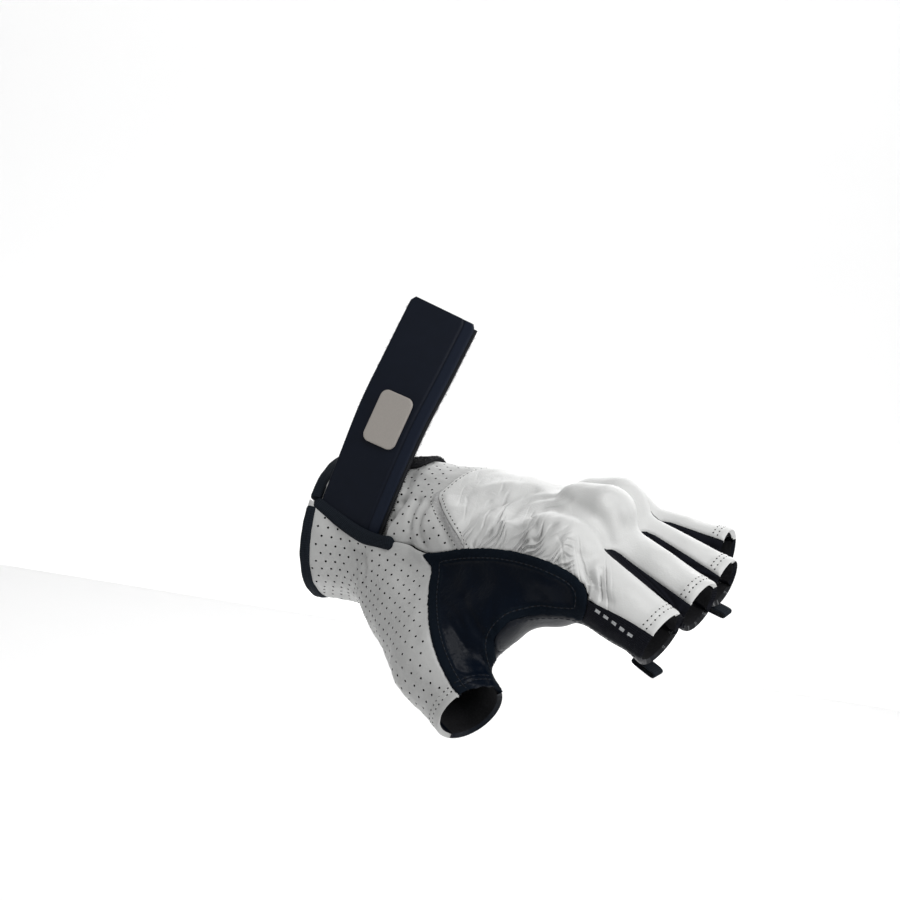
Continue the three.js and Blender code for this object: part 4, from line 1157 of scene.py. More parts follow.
class Look:
    """A principled material whose patterns are measured in millimetres."""

    def __init__(self, name, colour, roughness, **fixed):
        self.material = bpy.data.materials.new(name)
        self.material.use_nodes = True
        self.nodes = self.material.node_tree.nodes
        self.links = self.material.node_tree.links
        self.shader = self.nodes["Principled BSDF"]
        self.put("Base Color", (*colour, 1.0))
        self.put("Roughness", roughness)
        for socket, value in fixed.items():
            self.put(socket.replace("_", " "), value)
        self.normal = None

    def node(self, kind, settings=None, inputs=None, output=0):
        node = self.nodes.new(kind)
        for key, value in (settings or {}).items():
            setattr(node, key, value)
        for key, value in (inputs or {}).items():
            if isinstance(value, Wire):
                self.links.new(value.socket, node.inputs[key])
            else:
                node.inputs[key].default_value = value
        return Wire(self, node.outputs[output])

    def put(self, socket, value):
        if isinstance(value, Wire):
            self.links.new(value.socket, self.shader.inputs[socket])
        else:
            self.shader.inputs[socket].default_value = value

    def place(self):
        """Object coordinates in millimetres."""
        at = self.node("ShaderNodeTexCoord", output="Object")
        return self.node("ShaderNodeVectorMath", {"operation": "SCALE"}, {0: at, "Scale": 1 / MM})

    def lie(self):
        """The piece's own map, in millimetres."""
        return self.node("ShaderNodeUVMap", {"uv_map": "lie"})

    def along_and_across(self):
        """The map's two directions, in millimetres."""
        apart = self.nodes.new("ShaderNodeSeparateXYZ")
        self.links.new(self.lie().socket, apart.inputs[0])
        return Wire(self, apart.outputs[0]), Wire(self, apart.outputs[1])

    def hexagons(self, width):
        """How far each point is from the nearest border of a honeycomb, in millimetres."""
        u, v = self.along_and_across()
        high = width * math.sqrt(3)

        def cell(du, dv):
            x = abs((u + du) % width - width / 2)
            y = abs((v + dv) % high - high / 2)
            return x, y

        (ax, ay), (bx, by) = cell(0, 0), cell(width / 2, high / 2)
        first = (ax * ax + ay * ay) < (bx * bx + by * by)
        x = ax * first + bx * (1 - first)
        y = ay * first + by * (1 - first)
        return width / 2 - (x * 0.5 + y * (math.sqrt(3) / 2)).larger(x)

    def dashes(self, period, long, wide, low, high, at=0.0):
        """Short even bars along u, between low and high."""
        u, v = self.along_and_across()
        inside = (u > low) * (u < high)
        return ((u - low) % period < long) * (abs(v - at) < wide / 2) * inside

    def attribute(self, name):
        return self.node("ShaderNodeAttribute", {"attribute_name": name}, output="Fac")

    def noise(self, size, detail=2.0):
        inputs = {"Vector": self.place(), "Scale": 1 / size, "Detail": detail}
        return self.node("ShaderNodeTexNoise", {}, inputs)

    def cells(self, size):
        inputs = {"Vector": self.place(), "Scale": 1 / size}
        return self.node("ShaderNodeTexVoronoi", {"feature": "F1"}, inputs)

    def stripes(self, size, axis="X", distortion=0.0):
        return self.node(
            "ShaderNodeTexWave", {"wave_type": "BANDS", "bands_direction": axis},
            {"Vector": self.lie(), "Scale": 0.31416 / size, "Distortion": distortion, "Detail": 1.0})

    def mottle(self, size, dark, light, detail=2.0):
        """Two colours in soft spots."""
        return self.mix(self.noise(size, detail), dark, light)

    def sheen(self, size, spread, least, detail=3.0):
        """Roughness that wanders a little."""
        return self.noise(size, detail) * spread + least

    def between(self, value, low, high, out_low=0.0, out_high=1.0):
        return self.node(
            "ShaderNodeMapRange", {"interpolation_type": "SMOOTHSTEP"},
            {0: value, 1: low, 2: high, 3: out_low, 4: out_high})

    def mix(self, factor, a, b):
        a, b = ((*c, 1.0) if isinstance(c, tuple) and len(c) == 3 else c for c in (a, b))
        return self.node("ShaderNodeMix", {"data_type": "RGBA"}, {0: factor, 6: a, 7: b}, 2)

    def bump(self, height, depth):
        inputs = {"Height": height, "Distance": depth * MM, "Strength": 1.0}
        if self.normal:
            inputs["Normal"] = self.normal
        self.normal = self.node("ShaderNodeBump", {}, inputs)
        self.put("Normal", self.normal)


LOOKS = {}


def look(make):
    """Makes a look once and hands out its material."""

    def get():
        if make.__name__ not in LOOKS:
            LOOKS[make.__name__] = make()
        return LOOKS[make.__name__].material

    return get


def shade(colour, times):
    return tuple(min(1.0, c * times) for c in colour)


def black_hide(it):
    black = tuple(colours().black)
    return it.mottle(7.0, shade(black, 0.8), shade(black, 1.5))


def leather_grain(it, depth):
    it.bump(it.noise(2.6, 3.0), depth * 2.2)
    it.bump(it.cells(0.62), depth)


@look
def white_leather():
    white = tuple(colours().white)
    it = Look("white_leather", white, 0.42, Specular_IOR_Level=0.45)
    plain = it.mottle(9.0, shade(white, 0.955), white)
    shadow = 0.0
    for name in ("web", "strip"):
        turn = it.attribute(f"{name}_turn") + it.noise(5.0) * 0.5
        deep = it.attribute(f"{name}_depth")
        from_fold = 1.0 - abs(turn % 1.0 - 0.5) * 2.0
        fold = it.between(from_fold, 0.0, 0.55, 1.0, 0.0) * deep
        it.bump(1.0 - fold, 0.75)
        shadow = it.between(from_fold, 0.0, 0.3, 1.0, 0.0) * deep + shadow
    it.put("Base Color", it.mix(shadow * 0.5, plain, shade(white, 0.42)))
    it.put("Roughness", it.sheen(3.0, 0.16, 0.34))
    leather_grain(it, 0.035)
    return it


@look
def shaded_perforated_leather():
    white = tuple(colours().white)
    grey = tuple(colours().edging_and_shadow)
    it = Look("shaded_perforated_leather", white, 0.5, Specular_IOR_Level=0.4)
    # Painted shade: the same white leather as the back of the hand, darkened to 0.70–0.77 of its colour for
    # the shade that these panels lie in.
    plain = it.mottle(8.0, shade(white, 0.70), shade(white, 0.77))
    # Band by the knuckle seam: a thin line of painted shadow at the foot of the back panel's raised edge all
    # along the seam, widening on the thumb side into a rough grey strip.
    edge_grey_and_shadow = it.mottle(0.6, shade(grey, 0.45), shade(grey, 1.9), 3.0)
    it.put("Base Color", it.mix(it.attribute("edging_and_shadow") * 0.85, plain, edge_grey_and_shadow))
    it.put("Roughness", it.sheen(3.0, 0.16, 0.42))
    leather_grain(it, 0.04)
    return it


@look
def black_leather():
    it = Look("black_leather", tuple(colours().black), 0.36, Specular_IOR_Level=0.2)
    it.put("Base Color", black_hide(it))
    it.put("Roughness", it.sheen(4.0, 0.2, 0.26, 4.0))
    leather_grain(it, 0.045)
    return it


@look
def web_leather():
    it = Look("web_leather", tuple(colours().black), 0.36, Specular_IOR_Level=0.1)
    wide = sizes().border / MM
    border = it.between(it.attribute("band"), wide - 0.3, wide, 1.0, 0.0)
    suede = it.mottle(0.5, (0.0015, 0.0035, 0.007), (0.006, 0.011, 0.019), 3.0)
    it.put("Base Color", it.mix(border, black_hide(it), suede))
    it.put("Roughness", it.sheen(4.0, 0.2, 0.26, 4.0) + border * 0.55)
    leather_grain(it, 0.04)
    it.bump(it.noise(0.35, 2.0) * border, 0.09)
    return it


def knit(name):
    """Ribbed knit without its colour, and the colour to give it."""
    base = tuple(colours().stretch)
    it = Look(name, base, 0.9, Specular_IOR_Level=0.14)
    ribs = it.stripes(0.75, "Y", 0.6)
    it.bump(ribs, 0.14)
    it.bump(it.stripes(0.9, "X", 0.8), 0.07)
    return it, it.mix(ribs * 0.7 + it.noise(0.6) * 0.3, shade(base, 0.55), shade(base, 1.7))


@look
def stretch_knit():
    it, cloth = knit("stretch_knit")
    it.put("Base Color", cloth)
    return it


@look
def stretch_marked():
    it, cloth = knit("stretch_marked")
    mark = it.dashes(3.6, 2.0, 1.3, -9.0, 8.0, 2.6)
    it.put("Base Color", it.mix(mark, cloth, it.mottle(0.5, (0.42, 0.44, 0.46), (0.7, 0.71, 0.72))))
    return it


@look
def grip_suede():
    it = Look("grip_suede", tuple(colours().black), 0.8, Specular_IOR_Level=0.32)
    printed = it.attribute("printed")
    line = it.between(it.hexagons(sizes().hexagon / MM), 0.3, 0.55, 1.0, 0.0) * printed
    # Painted glints: lighter specks along the grey print stand for the sparkle of its silvery ink.
    glint_specks = it.between(it.noise(0.5, 2.0), 0.52, 0.62)
    suede = it.mottle(0.8, (0.008, 0.009, 0.011), (0.026, 0.027, 0.031), 3.0)
    cloth = it.mix(printed, black_hide(it), suede)
    print_and_glints = it.mix(glint_specks, (0.035, 0.037, 0.042), (0.24, 0.25, 0.26))
    it.put("Base Color", it.mix(line, cloth, print_and_glints))
    it.put("Roughness", it.sheen(4.0, 0.2, 0.26, 4.0) + printed * 0.5 - line * 0.42)
    it.bump(it.noise(0.45, 2.0) * (printed - line), 0.1)
    leather_grain(it, 0.04)
    return it


@look
def lining():
    it = Look("lining", (0.02, 0.021, 0.024), 0.95, Specular_IOR_Level=0.2)
    it.put("Base Color", it.mottle(0.8, (0.012, 0.012, 0.014), (0.034, 0.035, 0.038), 3.0))
    it.bump(it.noise(0.6, 2.0), 0.12)
    return it


@look
def hole_shade_and_lining():
    # Painted shade: dark colour for the walls and floor of the blind perforations, standing for the shaded
    # inside and dark lining seen through them, and for the dots at the stitch holes.
    it = Look("hole_shade_and_lining", (0.012, 0.012, 0.013), 0.9, Specular_IOR_Level=0.1)
    it.put("Base Color", it.mottle(0.6, (0.008, 0.008, 0.009), (0.02, 0.02, 0.021)))
    return it


def thread(name, colour):
    it = Look(name, colour, 0.6, Specular_IOR_Level=0.35)
    twist = it.noise(0.25, 1.0)
    it.put("Base Color", it.mix(twist, shade(colour, 0.72), colour))
    it.bump(twist, 0.05)
    return it


@look
def white_thread():
    return thread("white_thread", (0.80, 0.80, 0.78))


@look
def black_thread():
    return thread("black_thread", (0.009, 0.014, 0.024))


@look
def elastic():
    it = Look("elastic", (0.008, 0.011, 0.017), 0.8, Specular_IOR_Level=0.12)
    ribs = it.stripes(0.55, "Y")
    cross = it.stripes(0.8, "X", 0.5)
    it.put("Base Color", it.mix(ribs * 0.6 + cross * 0.4, (0.004, 0.006, 0.009), (0.018, 0.024, 0.034)))
    it.bump(ribs, 0.1)
    it.bump(cross, 0.05)
    return it


@look
def strap_rubber():
    dark = tuple(colours().strap)
    it = Look("strap_rubber", dark, 0.5, Specular_IOR_Level=0.2)
    border = it.between(it.attribute("border"), 0.2, 0.8)
    plain = it.mottle(6.0, shade(dark, 0.85), shade(dark, 1.2), 3.0)
    it.put("Base Color", it.mix(border, plain, shade(dark, 1.7)))
    it.put("Roughness", it.sheen(3.0, 0.14, 0.42))
    it.bump(it.noise(0.4, 2.0), 0.02)
    return it


@look
def hook_tape():
    it = Look("hook_tape", (0.012, 0.013, 0.016), 0.85, Specular_IOR_Level=0.3)
    weave = it.stripes(0.7, "X") * 0.5 + it.stripes(0.7, "Y") * 0.5
    it.put("Base Color", it.mix(weave, (0.007, 0.008, 0.010), (0.024, 0.026, 0.032)))
    it.bump(weave, 0.1)
    return it


@look
def pile():
    it = Look("pile", (0.012, 0.013, 0.016), 0.95, Specular_IOR_Level=0.2)
    fuzz = it.noise(0.5, 4.0)
    it.put("Base Color", it.mix(fuzz, (0.006, 0.007, 0.008), (0.03, 0.031, 0.036)))
    it.bump(fuzz, 0.25)
    return it


@look
def grey_patch():
    grey = tuple(colours().patch)
    it = Look("grey_patch", grey, 0.36, Specular_IOR_Level=0.5)
    brushed = it.noise(0.5, 3.0)
    it.put("Base Color", it.mix(brushed, shade(grey, 0.88), shade(grey, 1.1)))
    it.put("Roughness", brushed * 0.16 + 0.3)
    it.bump(brushed, 0.02)
    return it


@look
def slider_rubber():
    it = Look("slider_rubber", (0.010, 0.011, 0.014), 0.42, Specular_IOR_Level=0.45)
    it.put("Base Color", it.mottle(5.0, (0.008, 0.009, 0.011), (0.017, 0.018, 0.022)))
    it.put("Roughness", it.sheen(2.5, 0.16, 0.36))
    it.bump(it.cells(0.5), 0.02)
    return it


# Turning sheets into walls, and what is sewn or punched into them.


def dress(obj, *materials):
    obj.data.materials.clear()
    for m in materials:
        obj.data.materials.append(m)


def set_attribute(obj, name, values):
    layer = obj.data.attributes.new(name=name, type="FLOAT", domain="POINT")
    layer.data.foreach_set("value", np.asarray(values, np.float32))


def even_lining(obj, piece, rounds=10):
    """Evens the inner face of a wall, which bunches up where the wall turns sharply."""
    points = points_of(obj)
    count = len(piece.v)
    if len(points) != 2 * count:
        raise RuntimeError(f"{piece.name} has {len(points)} points after thickening, not {2 * count}")
    inner = points[count:].copy()
    edges = edges_of(piece.tri)
    rim = np.unique(piece.border)
    for _ in range(rounds):
        middle = neighbour_mean(inner, edges)
        middle[rim] = neighbour_mean(inner, piece.border)[rim]
        inner += 0.5 * (middle - inner)
    points[count:] = inner
    set_points(obj, points)
    obj.data.update()


def wall(piece, outside, inside, attributes=None):
    obj = from_points(piece.name, piece.surface(), piece.tri, piece.uv)
    dress(obj, outside, inside)
    for name, values in (attributes or {}).items():
        set_attribute(obj, name, values)
    apply_modifier(obj, "SOLIDIFY", thickness=sizes().wall, offset=-1, use_rim=True, material_offset=1,
                   material_offset_rim=0)
    even_lining(obj, piece)
    return obj


def finish(obj, node, angle=48):
    obj.name = f"sewn_{node}"
    obj.data.name = obj.name
    pick(obj)
    bpy.ops.object.shade_smooth_by_angle(angle=math.radians(angle))
    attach(obj, "root")
    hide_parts(node)
    return obj


SHAPES = {}


def small_shape(kind):
    """Points and triangles of a little ball, peg or spike about the origin, made once."""
    if kind not in SHAPES:
        deselect()
        if kind == "ball":
            bpy.ops.mesh.primitive_uv_sphere_add(segments=8, ring_count=6, radius=1)
        elif kind == "bead":
            bpy.ops.mesh.primitive_uv_sphere_add(segments=6, ring_count=4, radius=1)
        elif kind == "peg":
            bpy.ops.mesh.primitive_cylinder_add(vertices=10, radius=1, depth=2)
        else:
            bpy.ops.mesh.primitive_cone_add(vertices=4, radius1=1, radius2=0.35, depth=2)
        obj = bpy.context.object
        SHAPES[kind] = (points_of(obj), triangles_of(obj).copy())
        bpy.data.objects.remove(obj)
    return SHAPES[kind]


def copies(kind, centres, along, across, out, size):
    """Many copies of a small shape: its x, y and z go along, across and out, times size."""
    shape, tri = small_shape(kind)
    size = np.broadcast_to(np.asarray(size, float), (len(centres), 3))
    axes = np.stack([along, across, out], 1) * size[:, :, None]
    v = np.asarray(centres)[:, None] + np.einsum("pk,nkx->npx", shape, axes)
    t = tri[None] + (np.arange(len(centres)) * len(shape))[:, None, None]
    return v.reshape(-1, 3), t.reshape(-1, 3)


def join_into(obj, parts):
    """Joins lists of points, triangles and a material into an object."""
    extra = []
    for v, t, material in parts:
        if len(v):
            part = from_points("part", v, t)
            dress(part, material)
            extra.append(part)
    if extra:
        pick(obj, *extra)
        bpy.ops.object.join()


def steps_along(line, pitch):
    """Even steps along a line, smoothed, with the direction out of the surface at each."""
    at, out = line
    long = run_length(at)
    soft = np.stack([np.convolve(np.pad(at[:, k], 4, "edge"), np.ones(9) / 9, "valid") for k in range(3)], 1)
    s = np.linspace(0, long[-1], max(2, int(round(long[-1] / pitch)) + 1))
    p, n = (np.stack([np.interp(s, long, values[:, k]) for k in range(3)], 1) for values in (soft, out))
    return p, unit(n)


def stitches(lines, material, thick, pricked=True):
    """Sewn rows: a raised thread from hole to hole, and a flat dark dot of painted shade at each pricked
    hole.
    """
    parts = []
    for line in lines:
        p, n = steps_along(line, sizes().stitch_pitch / MM)
        mid, out = (p[1:] + p[:-1]) / 2, unit(n[1:] + n[:-1])
        along = unit(p[1:] - p[:-1])
        across = unit(np.cross(out, along))
        long = np.linalg.norm(p[1:] - p[:-1], axis=1) * 0.36
        size = np.stack([long, np.full(len(mid), thick * 1.15), np.full(len(mid), thick)], 1)
        parts.append((*copies("ball", mid + out * 0.02, along, across, out, size), material))
        if pricked:
            tangent = unit(np.gradient(p, axis=0))
            side = unit(np.cross(n, tangent))
            parts.append((*copies("bead", p + n * 0.04, tangent, side, n, (0.4, 0.34, 0.12)), hole_shade_and_lining()))
    return parts


def perforations(piece, margin):
    """Where the holes go: an even staggered lattice on the sheet laid flat."""
    a, b, c = corners(piece.uv, piece.tri)
    pitch = sizes().hole_pitch / MM
    row = pitch * 0.86
    middle = (a + b + c) / 3
    j = np.round(middle[:, 1] / row)
    shift = np.where(j % 2 == 0, 0, 0.5)
    target = np.stack([(np.round(middle[:, 0] / pitch - shift) + shift) * pitch, j * row], 1)
    e1, e2, q = b - a, c - a, target - a
    det = e1[:, 0] * e2[:, 1] - e1[:, 1] * e2[:, 0]
    det = np.where(np.abs(det) < TINY, TINY, det)
    s = (q[:, 0] * e2[:, 1] - q[:, 1] * e2[:, 0]) / det
    t = (e1[:, 0] * q[:, 1] - e1[:, 1] * q[:, 0]) / det
    hit = (s >= 0) & (t >= 0) & (s + t < 1)
    surface = piece.surface()
    normal = point_normals(surface, piece.tri)
    w = np.stack([1 - s - t, s, t], 1)[hit][:, :, None]
    tri = piece.tri[hit]
    at = (surface[tri] * w).sum(1)
    out = unit((normal[tri] * w).sum(1))
    clear = (margin[tri] * w[:, :, 0]).sum(1) > 0
    return at[clear], out[clear]


def punch(obj, at, out):
    """Pricks blind holes with dark walls and floor: painted shade for the shaded inside of the glove and its
    dark lining, seen through each hole.
    """
    side = unit(np.cross(out, np.where(np.abs(out[:, :1]) < 0.8, [[1.0, 0, 0]], [[0, 1.0, 0]])))
    across = np.cross(out, side)
    r = sizes().hole_width / MM / 2
    v, t = copies("peg", at - out * 0.25, side, across, out, (r, r, 0.85))
    pegs = from_points("pegs", v, t)
    dress(pegs, hole_shade_and_lining())
    cut_out(obj, pegs, f"the perforations of {obj.name}", solver="MANIFOLD", material_mode="TRANSFER")


# The panels of the hand.


def declare(obj, piece):
    """Prints the panel's size laid flat and its area."""
    area = flat_areas(piece.uv, piece.tri).sum() / 2
    spread = piece.uv - piece.uv.mean(0)
    best = None
    for turn in np.linspace(0, math.pi / 2, 31):
        axis = np.array([[math.cos(turn), -math.sin(turn)], [math.sin(turn), math.cos(turn)]])
        side = np.ptp(spread @ axis, axis=0)
        if best is None or side.prod() < best.prod():
            best = side
    print(f"flat size {obj.name}: {best.min():.0f} x {best.max():.0f} mm, {area / 100:.1f} square cm")
    flat = tuple(sorted(np.maximum(best * MM, 0.0101)))
    area = float(min(max(area * MM * MM, 0.301 * flat[0] * flat[1]), flat[0] * flat[1]))


def hem_rows(piece):
    """Two rows along each hem, which stop short of the seams."""
    rows = []
    if piece.hem.min() < 50:
        nearest = nearest_of(piece.v)
        for level in HEM_ROWS:
            rows += piece.contour(piece.hem, level, lambda p: piece.seam[nearest(p)] > 0.8)
    return rows


def by_web(points):
    q = SIDE.local(points)
    return np.abs(outline_distance(q[:, :2], WEB_LINE)) < 1.0


def by_knuckle(points):
    return line_distance(HAND.local(points)[:, :2], KNUCKLE_LINE) < 1.0


def run_along(points, line):
    """Distance along a flat line of the place nearest to each point."""
    tall = np.column_stack([line, np.zeros(len(line))])
    return run_length(line)[nearest_of(tall)(np.column_stack([points, np.zeros(len(points))]))]


def flap_edge(piece):
    """The border that the wrist and the thumb panel share beyond the vent."""
    a, b = piece.v[piece.border[:, 0]], piece.v[piece.border[:, 1]]
    points = np.vstack([a, (a + b) / 2])
    on_line = np.abs(WRIST_HEIGHTS.at(points[:, 0], points[:, 1]) - points[:, 2]) < AT_EDGE
    return points[on_line & (points[:, 1] < -20)]


def lower_half(points):
    """One along the thumb side of the knuckle seam, nought beyond its corner."""
    return step(-HAND.local(points)[:, 1], 14.5, 19.5)


class BuildBack(bpy.types.Operator):
    """White leather over the back of the hand: folds, puckers, folded edge and stitched hems"""

    bl_idname = "glove.back"
    bl_label = "Back of the hand"

    def execute(self, context):
        p = Piece("back_panel")
        p.unwrap((1, 0, 0))
        q = SIDE.local(p.v)[:, :2]
        away = np.abs(outline_distance(q, WEB_LINE))
        run = run_along(q, smooth_line(WEB_PATCH, 6000, closed=True))
        p.soften(depth=0.22, wavelength=17, seed=3)
        p.soften(depth=0.035, wavelength=6, seed=4)
        p.fold(1.4)
        top = step(91 - q[:, 0], 0, 6) * step(q[:, 0], 47, 53)
        folds = {}
        folds["web_turn"], folds["web_depth"] = p.gather(
            run, away, depth=0.75, pitch=2.3, reach=11.0, seed=11, lean=-0.6, mask=top)
        p.gather(run, away, depth=0.6, pitch=6.5, reach=17.0, seed=15, lean=-0.7, mask=top)
        strip = np.abs(outline_distance(q, INDEX_SIDE))
        near = step(105 - q[:, 0], 0, 9)
        folds["strip_turn"], folds["strip_depth"] = p.gather(
            q[:, 0], strip, depth=0.7, pitch=3.1, reach=7.5, seed=16, lean=0.2, mask=near)
        p.pucker(depth=0.12, pitch=3.0, reach=3.0, seed=12)
        p.crease(
            depth=0.1, width=0.2, spacing=5.0, seed=21, stretch=((0.3, -0.6, 0.75), 3.0),
            mask=step(p.edge, 2, 8))
        p.out += 0.75 * step(8 - p.knuckle, 0, 6)
        p.out -= 0.24 * ridge(p.knuckle, KNUCKLE_ROW, 0.4)
        p.round_edge(depth=0.5, width=1.1)
        p.hem_fold()
        obj = wall(p, white_leather(), lining(), folds)
        rows = hem_rows(p) + p.contour(p.knuckle, KNUCKLE_ROW)
        join_into(obj, stitches(rows, white_thread(), 0.17))
        finish(obj, "back_panel")
        declare(obj, p)
        return {"FINISHED"}


class BuildPerforated(bpy.types.Operator):
    """Perforated white leather of the wrist and the thumb, with its holes and seams"""

    bl_idname = "glove.perforated"
    bl_label = "Perforated wrist and thumb"

    def execute(self, context):
        turn = math.radians(SIDE_VIEW["turn"])
        level = (math.cos(turn), math.sin(turn), 0)
        keep_off = HOLES_KEEP_OFF
        for name, at in (("wrist_panel", (45, -32, 27)), ("thumb_panel", (20, -34, -2))):
            p = Piece(name)
            p.unwrap(level, at)
            edging_and_shadow = np.zeros(len(p.v))
            flap = distance_to(p.v, flap_edge(p))[0]
            vent = distance_to(p.v, VENT_LINE)[0]
            margin = np.minimum(p.seam - keep_off["seam"], p.rim - keep_off["rim"])
            p.soften(depth=0.2, wavelength=15, seed=6)
            p.soften(depth=0.06, wavelength=5, seed=8)
            p.fold(1.7)
            p.crease(
                depth=0.1, width=0.2, spacing=4.0, seed=31, stretch=((0, -0.4, 1), 2.5),
                mask=step(p.edge, 2, 7))
            p.out *= 0.15 + 0.85 * step(vent, 2.5, 7)
            if name == "thumb_panel":
                past_vent = np.linalg.norm(p.v - VENT_LINE[-1], axis=1)
                p.out += 0.75 * ridge(flap, 0, 4.5) * step(past_vent, 3, 7)
                p.pucker(depth=0.3, pitch=3.0, reach=3.0, seed=42, where=by_web)
                margin = np.minimum(margin, p.hem - keep_off["hem"])
            else:
                p.out -= 0.6 * ridge(flap, 0, 1.6)
                p.make_room()
                # Band beside the knuckle seam: about half a millimetre wide along the whole seam, a line of
                # painted shadow under the back panel's raised edge; about 2.7 mm wide on the thumb side, a
                # raised rough grey strip.
                rough = 0.5 + 2.2 * lower_half(p.v) + 0.25 * waves(p.v, 2.0, 73)
                edging_and_shadow = step(rough - p.knuckle, -0.25, 0.35)
                p.out += 0.3 * edging_and_shadow * (0.7 + 0.3 * waves(p.v, 0.9, 71))
                p.pucker(depth=0.3, pitch=2.4, reach=3.0, seed=41, where=by_knuckle)
                margin = np.minimum(margin, p.knuckle - keep_off["knuckle"])
            p.round_edge(depth=0.45, width=1.0)
            p.hem_fold()
            obj = wall(p, shaded_perforated_leather(), lining(), {"edging_and_shadow": edging_and_shadow})
            punch(obj, *perforations(p, margin))
            rows = hem_rows(p)
            if name == "wrist_panel":
                rows += p.contour(p.knuckle, EDGING_ROW, lambda at: lower_half(at) > 0.5)
            join_into(obj, stitches(rows, white_thread(), 0.17))
            finish(obj, name)
            declare(obj, p)
        return {"FINISHED"}


class BuildWeb(bpy.types.Operator):
    """Glossy leather in the web of the thumb, with a rough stitched border"""

    bl_idname = "glove.web"
    bl_label = "Web patch"

    def execute(self, context):
        p = Piece("web_patch")
        p.unwrap((1, 0, 0))
        band = -outline_distance(SIDE.local(p.v)[:, :2], WEB_LINE)
        wide = sizes().border / MM
        inside = step(band, wide, wide + 1.5)
        p.soften(depth=0.25, wavelength=12, seed=5)
        p.fold(0.9)
        p.crease(depth=0.16, width=0.2, spacing=2.6, seed=51, stretch=((0.2, 0.3, 1), 2.5), mask=inside)
        p.crease(depth=0.1, width=0.2, spacing=1.6, seed=52, stretch=((1, 0, 0), 2.5), mask=inside)
        p.out += 0.45 * step(wide - band, -0.5, 0.5)
        p.out -= 0.2 * ridge(band, wide - WEB_ROW, 0.5)
        p.out += 0.07 * waves(p.v, 1.2, 53) * (1 - inside)
        p.round_edge(depth=0.5, width=0.9)
        p.hem_fold()
        obj = wall(p, web_leather(), lining(), {"band": band})
        rows = p.contour(band, wide - WEB_ROW, lambda at: SIDE.local(at)[:, 2] > 0)
        join_into(obj, stitches(rows + hem_rows(p), black_thread(), 0.2))
        finish(obj, "web_patch")
        declare(obj, p)
        return {"FINISHED"}


class BuildPalm(bpy.types.Operator):
    """Black leather of the palm, wrinkled at the heel and sewn round its edge"""

    bl_idname = "glove.palm"
    bl_label = "Palm"

    def execute(self, context):
        p = Piece("palm_panel")
        p.unwrap((1, 0, 0))
        p.relax()
        p.soften(depth=0.35, wavelength=18, seed=9)
        p.soften(depth=0.12, wavelength=6, seed=10)
        p.fold()
        p.crease(
            depth=0.35, width=0.16, spacing=9.0, seed=61, stretch=((0, 1, 0), 3.0), mask=step(p.edge, 2, 8))
        p.crease(
            depth=0.14, width=0.2, spacing=4.0, seed=62, stretch=((0.3, 1, 0), 2.0),
            mask=step(p.edge, 2, 6))
        p.pucker(depth=0.25, pitch=3.0, reach=3.5, seed=63)
        p.round_edge(depth=0.5, width=1.0)
        p.hem_fold()
        obj = wall(p, black_leather(), lining())
        rows = hem_rows(p) + p.contour(p.seam, PALM_ROW)
        join_into(obj, stitches(rows, black_thread(), 0.17, pricked=False))
        finish(obj, "palm_panel")
        declare(obj, p)
        return {"FINISHED"}


class BuildGrip(bpy.types.Operator):
    """Grip panel under the fingers, with its printed honeycomb"""

    bl_idname = "glove.grip"
    bl_label = "Grip panel"

    def execute(self, context):
        p = Piece("grip_panel")
        p.unwrap(HAND.rows[0])
        p.relax()
        p.soften(depth=0.25, wavelength=14, seed=12)
        p.pucker(depth=0.25, pitch=3.0, reach=3.5, seed=64)
        p.round_edge(depth=0.5, width=1.0)
        p.hem_fold()
        gloss = np.vstack([cut_hide()[name][0][:, :3] for name in ("web_patch", "index_side")])
        obj = wall(p, grip_suede(), lining(), {"printed": step(distance_to(p.v, gloss)[0], 15, 17)})
        rows = hem_rows(p) + p.contour(p.seam, PALM_ROW)
        join_into(obj, stitches(rows, black_thread(), 0.17, pricked=False))
        finish(obj, "grip_panel")
        declare(obj, p)
        return {"FINISHED"}


class BuildStretch(bpy.types.Operator):
    """Ribbed stretch sides of the fingers, sunk a little below the leather"""

    bl_idname = "glove.stretch"
    bl_label = "Stretch sides"

    def execute(self, context):
        for name in [row["name"] for row in FOURCHETTES] + ["index_side", "pinky_side"]:
            p = Piece(name)
            rows = [row for row in FOURCHETTES if row["name"] == name]
            if rows:
                p.lay(between_fingers(rows[0]), 8)
            else:
                finger = name.split("_")[0]
                p.unwrap(finger_point(finger, 40) - finger_point(finger, 0))
            p.soften(depth=0.18, wavelength=7, seed=13)
            p.out -= 0.25
            p.pucker(depth=0.2, pitch=2.2, reach=2.5, seed=65)
            p.out += 0.25 * step(4.5 - p.hem, 0, 0.8)
            p.round_edge(depth=0.3, width=0.7)
            obj = wall(p, stretch_marked() if name == "index_side" else stretch_knit(), lining())
            finish(obj, name)
            declare(obj, p)
        return {"FINISHED"}


# Trim: bindings, strap, pads and tabs.


def bent(name, places, long, girth):
    """A grid laid on rings of places, welded, and closed at both ends; long and girth make its map."""
    n, k = places.shape[:2]
    deselect()
    bpy.ops.mesh.primitive_grid_add(x_subdivisions=n - 1, y_subdivisions=k, size=1)
    obj = bpy.context.object
    obj.name = name
    obj.data.name = name
    q = points_of(obj)
    i = np.rint((q[:, 0] + 0.5) * (n - 1)).astype(int)
    j = np.rint((q[:, 1] + 0.5) * k).astype(int)
    set_points(obj, places[i, j % k] * MM)
    while obj.data.uv_layers:
        obj.data.uv_layers.remove(obj.data.uv_layers[0])
    set_map(obj.data, np.stack([long[i] - long[-1] / 2, girth[j]], 1)[corners_of(obj)])
    edit(obj, (bpy.ops.mesh.remove_doubles, dict(threshold=1e-6)), (bpy.ops.mesh.fill_holes, dict(sides=0)),
         (bpy.ops.mesh.normals_make_consistent, dict(inside=False)))
    return obj


